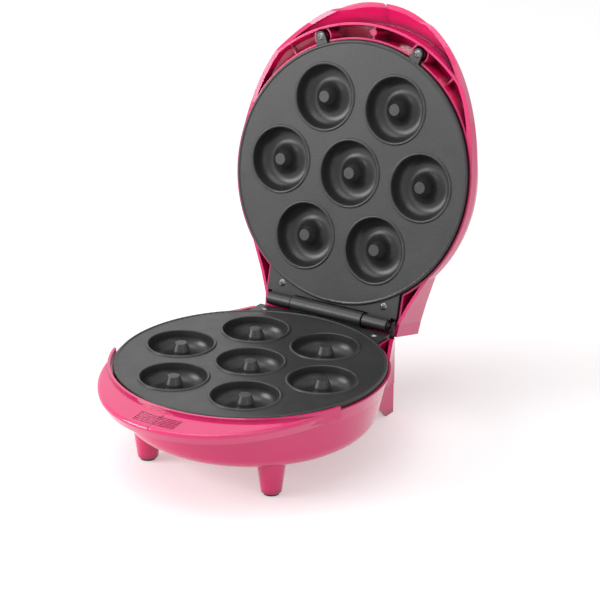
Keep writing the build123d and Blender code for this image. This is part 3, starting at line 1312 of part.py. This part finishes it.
def make_lid_leads():
    """Insulated leads from the hinge to the heater's ends in the lid, closed."""
    end_z = lid_z(HEATER_DEPTH + HEATER_LEG) + SEAT_GAP
    (x, y), (other_x, _) = heater_ends()
    z = end_z + WIRE_R
    knee_x, knee_y, knee_z = LID_LEAD_KNEE
    turn_x, turn_y = LID_LEAD_TURN
    turn_x = OUTER_KNUCKLE_X - turn_x
    start = (OUTER_KNUCKLE_X, HINGE_Y - LID_LEAD_HIGH[0], HINGE_Z + LID_LEAD_HIGH[1])
    knee = (OUTER_KNUCKLE_X - knee_x, HINGE_Y - knee_y, HINGE_Z + knee_z)
    first = wire((start, knee, (turn_x, HINGE_Y - turn_y, z), (x + WIRE_R, y, z)), WIRE_R, LEAD_BENDS[1])
    near, middle, far = LID_LEAD_CROSS
    run = ((other_x, y - WIRE_R - SEAT_GAP, z), (other_x, near, z), (0.0, middle, z), (turn_x, far, z - 4 * WIRE_R))
    return [first, wire(run, WIRE_R, LEAD_BENDS[2])]


def build_nodes():
    """Every sub-part by name, base pieces in place and lid pieces closed."""
    left_foot, right_foot = foot_places()
    base = {
        "base_shell": make_base_shell(),
        "base_plate": make_base_plate(),
        "base_heater": heater(),
        "base_reflector": reflector(base_reflector_r(), CASE_SHANK_R + SEAT_GAP, True),
        "base_small_screws": make_base_small_screws(),
        "thermostat": make_thermostat(),
        "thermostat_bracket": make_thermostat_bracket(),
        "thermal_fuse": make_thermal_fuse(),
        "fuse_clip": make_fuse_clip(),
        "earth_tag": make_earth_tag(),
        "terminal_block": make_terminal_block(),
        "cord_gland": make_cord_gland(),
        "base_leads": make_base_leads(),
        "hinge_lead_sleeve": make_hinge_lead_sleeve(),
        "foot_pad_left": make_foot_pad(*left_foot),
        "foot_pad_right": make_foot_pad(*right_foot),
        "base_plate_screws": make_base_plate_screws(),
        "base_case_screws": make_base_case_screws(),
        "hinge_pin": make_hinge_pin(),
        "hinge_clip_left": make_hinge_clip(-1),
        "hinge_clip_right": make_hinge_clip(1),
    }
    lid = {
        "lid_shell": make_lid_shell(),
        "lid_plate": make_lid_plate(),
        "lid_heater": to_lid(heater()),
        "lid_reflector": to_lid(reflector(lid_reflector_r(), SMALL_SHANK_R + THREAD_GAP, False)),
        "lid_small_screws": make_lid_small_screws(),
        "lid_plate_screws": make_lid_plate_screws(),
        "power_lamp_lens": make_lens(-LAMP_X),
        "ready_lamp_lens": make_lens(LAMP_X),
        "power_lamp": make_lamp(-LAMP_X),
        "ready_lamp": make_lamp(LAMP_X),
        "lamp_holder": make_lamp_holder(),
        "lid_leads": make_lid_leads(),
    }
    for number, angle in enumerate(CLAMP_ANGLES, start=1):
        base[f"base_heater_clamp_{number}"] = heater_strap(angle)
        lid[f"lid_heater_clamp_{number}"] = to_lid(heater_strap(angle))
    return base, lid


def flat_solids(shape):
    """All solids of a shape or of a list of shapes."""
    shapes = shape if isinstance(shape, list) else [shape]
    return [solid for item in shapes for solid in item.solids()]


def main():
    """Build every piece, open the lid, centre the part over its feet and write one file for each node."""
    os.makedirs("parts", exist_ok=True)
    base, lid = build_nodes()
    swing = Pos(0, HINGE_Y, HINGE_Z) * Rot(X=-OPEN_ANGLE) * Pos(0, -HINGE_Y, -HINGE_Z)
    pieces = {name: flat_solids(shape) for name, shape in base.items()}
    pieces.update({name: [swing * solid for solid in flat_solids(shape)] for name, shape in lid.items()})
    boxes = [solid.bounding_box() for solids in pieces.values() for solid in solids]
    y_low = min(box.min.Y for box in boxes)
    y_high = max(box.max.Y for box in boxes)
    shift = Pos(0, -(y_low + y_high) / 2, 0)
    print("shift in Y", -(y_low + y_high) / 2)
    for name, solids in pieces.items():
        placed = [shift * solid for solid in solids]
        shape = placed[0] if len(placed) == 1 else Compound(children=placed)
        export_step(shape, f"parts/{name}.step")


main()
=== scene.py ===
import json
import math

import bpy
from mathutils import Matrix, Vector
from mathutils.bvhtree import BVHTree


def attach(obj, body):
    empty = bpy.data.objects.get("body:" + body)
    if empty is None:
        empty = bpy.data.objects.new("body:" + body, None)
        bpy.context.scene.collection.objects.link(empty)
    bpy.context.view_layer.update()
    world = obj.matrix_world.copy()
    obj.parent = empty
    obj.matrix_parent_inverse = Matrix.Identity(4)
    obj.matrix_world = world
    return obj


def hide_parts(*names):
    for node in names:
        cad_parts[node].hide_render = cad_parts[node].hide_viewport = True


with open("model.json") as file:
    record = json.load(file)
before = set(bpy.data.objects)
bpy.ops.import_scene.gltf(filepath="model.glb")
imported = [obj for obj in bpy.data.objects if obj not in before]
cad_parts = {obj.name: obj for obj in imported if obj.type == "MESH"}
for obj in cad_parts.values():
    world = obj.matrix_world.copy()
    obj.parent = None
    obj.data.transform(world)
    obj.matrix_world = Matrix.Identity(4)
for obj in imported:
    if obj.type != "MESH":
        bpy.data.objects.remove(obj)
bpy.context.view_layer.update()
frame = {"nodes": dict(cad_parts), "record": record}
nodes = frame["nodes"]


def linear(red, green, blue):
    """Scene colour of an sRGB colour given from 0 to 255."""
    def channel(value):
        value /= 255
        return value / 12.92 if value <= 0.04045 else ((value + 0.055) / 1.055) ** 2.4
    return (channel(red), channel(green), channel(blue), 1.0)


def painted_shade_of(colour, share=0.4):
    """The same colour, darker, for painted shade in inside corners."""
    return tuple(channel * share for channel in colour[:3]) + (1.0,)


# Camera at the photograph's viewing angle, in metres, degrees and millimetres of lens
CAMERA_PLACE = (0.9466, -1.4539, 0.7970)
CAMERA_AZIMUTH = 32.43
CAMERA_ELEVATION = 21.70
CAMERA_ROLL = 0.30
CAMERA_LENS = 154.54
CAMERA_SENSOR = 36.0
CAMERA_REACH = 50.0

# Studio: each lamp's place, the point that it faces, its width, height and power
LAMPS = {
    "overhead_box": ((-0.2, -0.5, 2.2), (0.0, 0.0, 0.1), 2.0, 1.6, 20.0),
    "left_key": ((-1.7, -1.5, 1.1), (0.0, 0.0, 0.12), 1.2, 1.2, 36.0),
    "right_fill": ((1.9, -0.9, 0.9), (0.0, 0.0, 0.12), 1.0, 1.4, 4.0),
}
WHITE = (1.0, 1.0, 1.0, 1.0)
FLOOR_SIZE = 12.0
FLOOR_Z = -0.0002
FLOOR_COLOUR = (0.78, 0.78, 0.78, 1.0)
FLOOR_GLOW = 0.42
WORLD_LIGHT = 0.43
WORLD_SEEN = 1.0

# Front seams of the two housings, in metres: rounding of the halves' edges, and where the seam runs along Y
LIP_ROUND = 0.0022
LIP_SEAM = (-0.15765, -0.1325)
BRIM_ROUND = 0.0030
BRIM_SEAM = (-0.15780, -0.1300)
SEAM_SLACK = 0.0002
SIDEWAYS = 0.02       # a normal that leans more than this along X belongs to the furrow
ABOVE = 1.0           # height from which the seam is measured
MERGE = 1e-7

# Edges softened in the shading, in metres
MOULDED_EDGE = 0.0007
CAST_EDGE = 0.0005
METAL_EDGE = 0.0002

# Colours
PINK_DARK = linear(230, 20, 108)
PINK_LIGHT = linear(236, 27, 116)
# Painted shade: colour that darkens the pink in pockets and inside corners
PINK_PAINTED_SHADE = linear(112, 6, 56)
COATING_DARK = linear(44, 44, 45)
COATING_LIGHT = linear(54, 54, 54)
COATING_SPECK = linear(78, 78, 78)
# Painted shade: colour that darkens the coating in inside corners, gaps and round the cavity beads
COATING_PAINTED_SHADE = linear(8, 8, 8)
STEEL_DARK = linear(112, 112, 114)
STEEL_LIGHT = linear(146, 146, 147)
# Painted shade: colour that darkens the steel in inside corners
STEEL_PAINTED_SHADE = linear(14, 13, 12)
SHEATH_TINT = linear(96, 84, 70)
SHEATH_GREY = linear(122, 118, 116)
SHEET_DARK = linear(186, 188, 190)
SHEET_LIGHT = linear(212, 213, 214)
PHENOLIC_DARK = linear(28, 26, 25)
PHENOLIC_LIGHT = linear(44, 41, 40)
CERAMIC_DARK = linear(214, 208, 194)
CERAMIC_LIGHT = linear(232, 228, 218)
RUBBER_DARK = linear(24, 24, 25)
RUBBER_LIGHT = linear(38, 38, 39)
SLEEVING_DARK = linear(206, 203, 192)
SLEEVING_LIGHT = linear(226, 223, 214)
RED_THICK = linear(168, 8, 8)
RED_THIN = linear(214, 30, 24)
GREEN_THICK = linear(10, 140, 44)
GREEN_THIN = linear(40, 190, 80)
GLASS_THICK = linear(236, 200, 168)
GLASS_THIN = linear(244, 226, 206)

METAL = {"Metallic": 1.0}
TINTED_LENS = {"Transmission Weight": 0.6, "IOR": 1.49}
CLEAR_LENS = {"Transmission Weight": 0.9, "IOR": 1.49}
LENS_CLOUD = 300.0
LENS_POLISH = (700.0, 0.03, 0.10)
LENS_RELIEF = ("grain", {"Scale": 900.0, "Ripple": 1.0}, 0.000004, METAL_EDGE)
DULL_CLOUD = 80.0
# Reach and depth of the painted shade in inside corners of the dull finishes
DULL_PAINTED_SHADE = (0.003, 1.0)

# Finishes by material slot. cloud: size of the slow change between the two colours; painted shade: reach,
# depth and colour of the shade painted into inside corners; polish: size, lowest and highest roughness;
# relief: effect, its values, its height and the softened edge; sockets: what is the same all over.
FINISHES = {
    "pink_housing": {
        "name": "pink_gloss_plastic", "colours": (PINK_DARK, PINK_LIGHT), "cloud": 14.0,
        "corner_shade": (0.007, 1.0, PINK_PAINTED_SHADE), "polish": (60.0, 0.13, 0.20),
        "relief": ("grain", {"Scale": 420.0, "Ripple": 2.0}, 0.000006, MOULDED_EDGE),
        "sockets": {"Coat Weight": 0.6, "Coat Roughness": 0.03}},
    "plate_coating": {
        "name": "plate_coating", "colours": (COATING_DARK, COATING_LIGHT), "cloud": 30.0,
        "specks": (1100.0, 0.3, COATING_SPECK), "corner_shade": (0.014, 1.8, COATING_PAINTED_SHADE),
        "polish": (90.0, 0.28, 0.37),
        "relief": ("grain", {"Scale": 1500.0, "Ripple": 0.5}, 0.00005, CAST_EDGE)},
    "bright_steel": {
        "name": "bright_steel", "colours": (STEEL_DARK, STEEL_LIGHT), "cloud": 500.0,
        "corner_shade": (0.002, 2.4, STEEL_PAINTED_SHADE), "polish": (900.0, 0.20, 0.36),
        "relief": ("brushing", {"Scale": 4000.0}, 0.000008, METAL_EDGE), "sockets": METAL},
    "heater_sheath": {
        "name": "heater_sheath", "colours": (SHEATH_TINT, SHEATH_GREY), "cloud": 55.0,
        "polish": (200.0, 0.38, 0.60),
        "relief": ("grain", {"Scale": 1400.0, "Ripple": 0.6}, 0.00003, METAL_EDGE), "sockets": METAL},
    "sheet_metal": {
        "name": "rolled_sheet", "colours": (SHEET_DARK, SHEET_LIGHT), "cloud": 25.0,
        "polish": (70.0, 0.30, 0.42),
        "relief": ("brushing", {"Scale": 900.0}, 0.00002, METAL_EDGE), "sockets": METAL},
    "dark_plastic": {
        "name": "dark_plastic", "colours": (PHENOLIC_DARK, PHENOLIC_LIGHT), "cloud": DULL_CLOUD,
        "corner_shade": (*DULL_PAINTED_SHADE, painted_shade_of(PHENOLIC_DARK)), "polish": (160.0, 0.40, 0.55),
        "relief": ("grain", {"Scale": 1400.0, "Ripple": 0.4}, 0.00002, METAL_EDGE)},
    "ceramic": {
        "name": "ceramic", "colours": (CERAMIC_DARK, CERAMIC_LIGHT), "cloud": DULL_CLOUD,
        "corner_shade": (*DULL_PAINTED_SHADE, painted_shade_of(CERAMIC_DARK)), "polish": (160.0, 0.50, 0.66),
        "relief": ("grain", {"Scale": 1600.0, "Ripple": 0.4}, 0.00003, CAST_EDGE)},
    "dark_rubber": {
        "name": "dark_rubber", "colours": (RUBBER_DARK, RUBBER_LIGHT), "cloud": DULL_CLOUD,
        "corner_shade": (*DULL_PAINTED_SHADE, painted_shade_of(RUBBER_DARK)), "polish": (160.0, 0.55, 0.72),
        "relief": ("grain", {"Scale": 1100.0, "Ripple": 0.4}, 0.00004, METAL_EDGE)},
    "lead_sleeving": {
        "name": "lead_sleeving", "colours": (SLEEVING_DARK, SLEEVING_LIGHT), "cloud": DULL_CLOUD,
        "corner_shade": (*DULL_PAINTED_SHADE, painted_shade_of(SLEEVING_DARK)), "polish": (160.0, 0.50, 0.60),
        "relief": ("grain", {"Scale": 2400.0, "Ripple": 0.4}, 0.00003, METAL_EDGE)},
    "red_lens": {
        "name": "red_lens", "colours": (RED_THICK, RED_THIN), "cloud": LENS_CLOUD,
        "polish": LENS_POLISH, "relief": LENS_RELIEF, "sockets": TINTED_LENS},
    "green_lens": {
        "name": "green_lens", "colours": (GREEN_THICK, GREEN_THIN), "cloud": LENS_CLOUD,
        "polish": LENS_POLISH, "relief": LENS_RELIEF, "sockets": TINTED_LENS},
    "clear_glass": {
        "name": "clear_glass", "colours": (GLASS_THICK, GLASS_THIN), "cloud": LENS_CLOUD,
        "polish": LENS_POLISH, "relief": LENS_RELIEF, "sockets": CLEAR_LENS},
}


# Camera, light and floor

def set_camera():
    """Camera at the photograph's viewing angle."""
    bpy.ops.object.camera_add()
    camera = bpy.context.object
    camera.name = "photo_camera"
    turn = Matrix.Rotation(math.radians(CAMERA_AZIMUTH), 4, "Z")
    turn = turn @ Matrix.Rotation(math.radians(90 - CAMERA_ELEVATION), 4, "X")
    turn = turn @ Matrix.Rotation(math.radians(CAMERA_ROLL), 4, "Z")
    camera.matrix_world = Matrix.Translation(CAMERA_PLACE) @ turn
    camera.data.lens = CAMERA_LENS
    camera.data.sensor_width = CAMERA_SENSOR
    camera.data.clip_end = CAMERA_REACH
    bpy.context.scene.camera = camera


def set_lamps():
    """Soft studio light: a large overhead box, a key from the left and a weak fill from the right."""
    for name, (place, target, width, height, power) in LAMPS.items():
        bpy.ops.object.light_add(type="AREA", location=place)
        lamp = bpy.context.object
        lamp.name = name
        lamp.data.shape = "RECTANGLE"
        lamp.data.size = width
        lamp.data.size_y = height
        lamp.data.energy = power
        lamp.rotation_euler = (Vector(target) - Vector(place)).to_track_quat("-Z", "Y").to_euler()


def feed(tree, socket, value):
    """Gives a socket what it reads: another socket, or a number or colour of its own."""
    if isinstance(value, bpy.types.NodeSocket):
        tree.links.new(value, socket)
    else:
        socket.default_value = value


def math_node(tree, operation, first, second):
    """Math node of two inputs, each a socket or a number."""
    node = tree.nodes.new("ShaderNodeMath")
    node.operation = operation
    feed(tree, node.inputs[0], first)
    feed(tree, node.inputs[1], second)
    return node.outputs[0]


def seen_directly(tree):
    """Value of 1 for camera, glossy and transmission rays."""
    path = tree.nodes.new("ShaderNodeLightPath")
    either = math_node(tree, "MAXIMUM", path.outputs["Is Camera Ray"], path.outputs["Is Glossy Ray"])
    return math_node(tree, "MAXIMUM", either, path.outputs["Is Transmission Ray"])


def set_world():
    """White surroundings where they are seen, and a softer level where they light the object."""
    world = bpy.data.worlds.new("studio_world")
    world.use_nodes = True
    tree = world.node_tree
    background = tree.nodes["Background"]
    background.inputs["Color"].default_value = WHITE
    level = tree.nodes.new("ShaderNodeMapRange")
    level.inputs["To Min"].default_value = WORLD_LIGHT
    level.inputs["To Max"].default_value = WORLD_SEEN
    tree.links.new(seen_directly(tree), level.inputs["Value"])
    tree.links.new(level.outputs["Result"], background.inputs["Strength"])
    bpy.context.scene.world = world


def set_floor():
    """Plain pale floor that keeps the object's shadow."""
    bpy.ops.mesh.primitive_plane_add(size=FLOOR_SIZE, location=(0.0, 0.0, FLOOR_Z))
    floor = bpy.context.object
    floor.name = "studio_floor"
    material = bpy.data.materials.new("studio_floor")
    material.use_nodes = True
    tree = material.node_tree
    tree.nodes.clear()
    output = tree.nodes.new("ShaderNodeOutputMaterial")
    diffuse = tree.nodes.new("ShaderNodeBsdfDiffuse")
    diffuse.inputs["Color"].default_value = FLOOR_COLOUR
    glow = tree.nodes.new("ShaderNodeEmission")
    glow.inputs["Color"].default_value = WHITE
    add = tree.nodes.new("ShaderNodeAddShader")
    tree.links.new(math_node(tree, "MULTIPLY", seen_directly(tree), FLOOR_GLOW), glow.inputs["Strength"])
    tree.links.new(diffuse.outputs[0], add.inputs[0])
    tree.links.new(glow.outputs[0], add.inputs[1])
    tree.links.new(add.outputs[0], output.inputs["Surface"])
    floor.data.materials.append(material)


# Effects that several finishes share

def effect_group(name, inputs, output):
    """Empty node group with a vector input, named number inputs and one number output."""
    group = bpy.data.node_groups.new(name, "ShaderNodeTree")
    group.interface.new_socket("Vector", in_out="INPUT", socket_type="NodeSocketVector")
    for label in inputs:
        group.interface.new_socket(label, in_out="INPUT", socket_type="NodeSocketFloat")
    group.interface.new_socket(output, in_out="OUTPUT", socket_type="NodeSocketFloat")
    start = group.nodes.new("NodeGroupInput")
    end = group.nodes.new("NodeGroupOutput")
    return group, start.outputs, end.inputs[output]


def noise(tree, vector, scale, detail=2.0):
    """Noise texture value; the scale is a socket or a number."""
    node = tree.nodes.new("ShaderNodeTexNoise")
    node.inputs["Detail"].default_value = detail
    tree.links.new(vector, node.inputs["Vector"])
    feed(tree, node.inputs["Scale"], scale)
    return node.outputs["Fac"]


def build_mottle():
    """Slow, soft variation between a low and a high value."""
    group, start, end = effect_group("mottle", ("Scale", "Low", "High"), "Value")
    spread = group.nodes.new("ShaderNodeMapRange")
    spread.inputs["From Min"].default_value = 0.3
    spread.inputs["From Max"].default_value = 0.7
    group.links.new(noise(group, start["Vector"], start["Scale"], detail=4.0), spread.inputs["Value"])
    group.links.new(start["Low"], spread.inputs["To Min"])
    group.links.new(start["High"], spread.inputs["To Max"])
    group.links.new(spread.outputs["Result"], end)
    return group


def build_grain():
    """Height of a fine moulded or sprayed grain: small grains on a ripple twelve times as broad."""
    group, start, end = effect_group("grain", ("Scale", "Ripple"), "Height")
    fine = noise(group, start["Vector"], start["Scale"], detail=3.0)
    broad_scale = math_node(group, "MULTIPLY", start["Scale"], 0.08)
    broad = noise(group, start["Vector"], broad_scale, detail=1.0)
    ripple = math_node(group, "MULTIPLY", broad, start["Ripple"])
    group.links.new(math_node(group, "ADD", fine, ripple), end)
    return group


def build_specks():
    """Mask of sparse small specks, such as grains in a sprayed coating."""
    group, start, end = effect_group("specks", ("Scale", "Size"), "Mask")
    cells = group.nodes.new("ShaderNodeTexVoronoi")
    group.links.new(start["Vector"], cells.inputs["Vector"])
    group.links.new(start["Scale"], cells.inputs["Scale"])
    near = math_node(group, "LESS_THAN", cells.outputs["Distance"], start["Size"])
    sparse = math_node(group, "GREATER_THAN", noise(group, start["Vector"], start["Scale"]), 0.56)
    group.links.new(math_node(group, "MULTIPLY", near, sparse), end)
    return group


def build_corner_shade():
    """Mask for painted shade: 1 on open faces, falling to 0 in tight inside corners and gaps, where less
    light reaches.
    """
    group, start, end = effect_group("corner_shade", ("Reach", "Depth"), "Mask")
    shade = group.nodes.new("ShaderNodeAmbientOcclusion")
    shade.samples = 8
    group.links.new(start["Reach"], shade.inputs["Distance"])
    group.links.new(math_node(group, "POWER", shade.outputs["AO"], start["Depth"]), end)
    return group


def build_brushing():
    """Height of fine lines drawn along X, as on rolled or brushed metal."""
    group, start, end = effect_group("brushing", ("Scale",), "Height")
    stretch = group.nodes.new("ShaderNodeMapping")
    stretch.inputs["Scale"].default_value = (0.04, 1.0, 1.0)
    group.links.new(start["Vector"], stretch.inputs["Vector"])
    group.links.new(noise(group, stretch.outputs["Vector"], start["Scale"], detail=3.0), end)
    return group


# Finishes

def place_effect(tree, group, coords, values):
    """Places an effect in a material with its own values, and returns its output."""
    node = tree.nodes.new("ShaderNodeGroup")
    node.node_tree = group
    tree.links.new(coords, node.inputs["Vector"])
    for label, value in values.items():
        node.inputs[label].default_value = value
    return node.outputs[0]


def blend_colours(tree, mask, first, second):
    """Colour that runs from the first to the second by a mask; each is a colour or a socket."""
    node = tree.nodes.new("ShaderNodeMix")
    node.data_type = "RGBA"
    tree.links.new(mask, node.inputs["Factor"])
    colour_inputs = [socket for socket in node.inputs if socket.type == "RGBA"]
    feed(tree, colour_inputs[0], first)
    feed(tree, colour_inputs[1], second)
    return next(socket for socket in node.outputs if socket.type == "RGBA")


def set_relief(tree, shader, height, depth, edge):
    """Fine relief on top of softened edges."""
    rounded = tree.nodes.new("ShaderNodeBevel")
    rounded.samples = 4
    rounded.inputs["Radius"].default_value = edge
    bump = tree.nodes.new("ShaderNodeBump")
    bump.inputs["Strength"].default_value = 1.0
    bump.inputs["Distance"].default_value = depth
    tree.links.new(rounded.outputs["Normal"], bump.inputs["Normal"])
    tree.links.new(height, bump.inputs["Height"])
    tree.links.new(bump.outputs["Normal"], shader.inputs["Normal"])


def build_finish(effects, finish):
    """Material of one finish: clouded colour, specks, painted shade in inside corners, uneven polish and
    relief.
    """
    material = bpy.data.materials.new(finish["name"])
    material.use_nodes = True
    tree = material.node_tree
    shader = tree.nodes["Principled BSDF"]
    for label, value in finish.get("sockets", {}).items():
        shader.inputs[label].default_value = value
    coords = tree.nodes.new("ShaderNodeTexCoord").outputs["Object"]
    cloud = place_effect(tree, effects["mottle"], coords, {"Scale": finish["cloud"], "Low": 0.0, "High": 1.0})
    colour = blend_colours(tree, cloud, *finish["colours"])
    if "specks" in finish:
        scale, size, speck_colour = finish["specks"]
        speck = place_effect(tree, effects["specks"], coords, {"Scale": scale, "Size": size})
        colour = blend_colours(tree, speck, colour, speck_colour)
    # Painted shade: the colour is darkened towards the shade colour in inside corners and gaps, by ambient
    # occlusion
    if "corner_shade" in finish:
        reach, depth, shade_colour = finish["corner_shade"]
        shade_mask = place_effect(tree, effects["corner_shade"], coords, {"Reach": reach, "Depth": depth})
        colour = blend_colours(tree, shade_mask, shade_colour, colour)
    tree.links.new(colour, shader.inputs["Base Color"])
    polish = dict(zip(("Scale", "Low", "High"), finish["polish"]))
    tree.links.new(place_effect(tree, effects["mottle"], coords, polish), shader.inputs["Roughness"])
    effect, values, height, edge = finish["relief"]
    set_relief(tree, shader, place_effect(tree, effects[effect], coords, values), height, edge)
    return material


def build_finishes():
    """Every finish, by the name of the record's material slot."""
    effects = {"mottle": build_mottle(), "grain": build_grain(), "specks": build_specks(),
               "corner_shade": build_corner_shade(), "brushing": build_brushing()}
    return {slot: build_finish(effects, finish) for slot, finish in FINISHES.items()}


def dress_nodes(finishes):
    """Gives every CAD node the finish of its slot in the record."""
    slots = {part["node"]: part["material_slot"] for part in frame["record"]["subparts"]}
    for name, node in nodes.items():
        node.data.materials.clear()
        node.data.materials.append(finishes[slots[name]])


# Housings with closed front seams

def merged_mesh(name, source):
    """Copy of a mesh of loose triangles with its doubles merged, and its corner normals."""
    places = {}
    corners, faces, normals = [], [], []
    for face in source.polygons:
        ring = []
        for index in face.vertices:
            point = source.vertices[index].co
            key = tuple(round(value / MERGE) for value in point)
            if key not in places:
                places[key] = len(corners)
                corners.append(tuple(point))
            ring.append(places[key])
        if len(set(ring)) == len(ring):
            faces.append(ring)
            normals.extend(Vector(source.corner_normals[loop].vector) for loop in face.loop_indices)
    mesh = bpy.data.meshes.new(name)
    mesh.from_pydata(corners, [], faces)
    return mesh, normals


def close_seam(name, node_name, body, closed, rounding, seam, finish):
    """Housing with the furrow between its front halves filled level with the faces beside it."""
    mesh, normals = merged_mesh(name, nodes[node_name].data)
    points = [closed @ vertex.co for vertex in mesh.vertices]
    surface = BVHTree.FromPolygons(points, [tuple(face.vertices) for face in mesh.polygons])
    back = closed.inverted()
    levels = {}
    for index, point in enumerate(points):
        if abs(point.x) >= rounding or not seam[0] < point.y < seam[1]:
            continue
        start = Vector((rounding + SEAM_SLACK, point.y, ABOVE))
        hit, facing, _, _ = surface.ray_cast(start, Vector((0, 0, -1)))
        if hit is None:
            continue
        furrow = rounding - math.sqrt(rounding ** 2 - (rounding - abs(point.x)) ** 2)
        if MERGE < hit.z - point.z < furrow + SEAM_SLACK:
            levels[index] = Vector((0, facing.y, facing.z)).normalized()
            point.z = hit.z
            mesh.vertices[index].co = back @ point
    turn, turn_back = closed.to_3x3(), closed.to_3x3().inverted()
    for loop in mesh.loops:
        level = levels.get(loop.vertex_index)
        if level and abs((turn @ normals[loop.index]).x) > SIDEWAYS:
            normals[loop.index] = turn_back @ level
    for face in mesh.polygons:
        face.use_smooth = True
    mesh.normals_split_custom_set(normals)
    mesh.materials.append(finish)
    piece = bpy.data.objects.new(name, mesh)
    bpy.context.collection.objects.link(piece)
    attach(piece, body)
    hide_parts(node_name)


def closed_lid():
    """Turn that takes the open lid back to its closed place."""
    hinge = next(joint for joint in frame["record"]["behaviour"]["joints"] if joint["name"] == "lid_hinge")
    place = Matrix.Translation(Vector(hinge["pos_m"]))
    return place @ Matrix.Rotation(math.radians(hinge["range_deg"][1]), 4, "X") @ place.inverted()


bpy.ops.object.select_all(action="DESELECT")
set_camera()
set_lamps()
set_world()
set_floor()
finishes = build_finishes()
dress_nodes(finishes)
pink = finishes["pink_housing"]
close_seam("base_housing", "base_shell", "base", Matrix.Identity(4), LIP_ROUND, LIP_SEAM, pink)
close_seam("lid_housing", "lid_shell", "lid", closed_lid(), BRIM_ROUND, BRIM_SEAM, pink)

bpy.context.scene.view_settings.view_transform = "Standard"
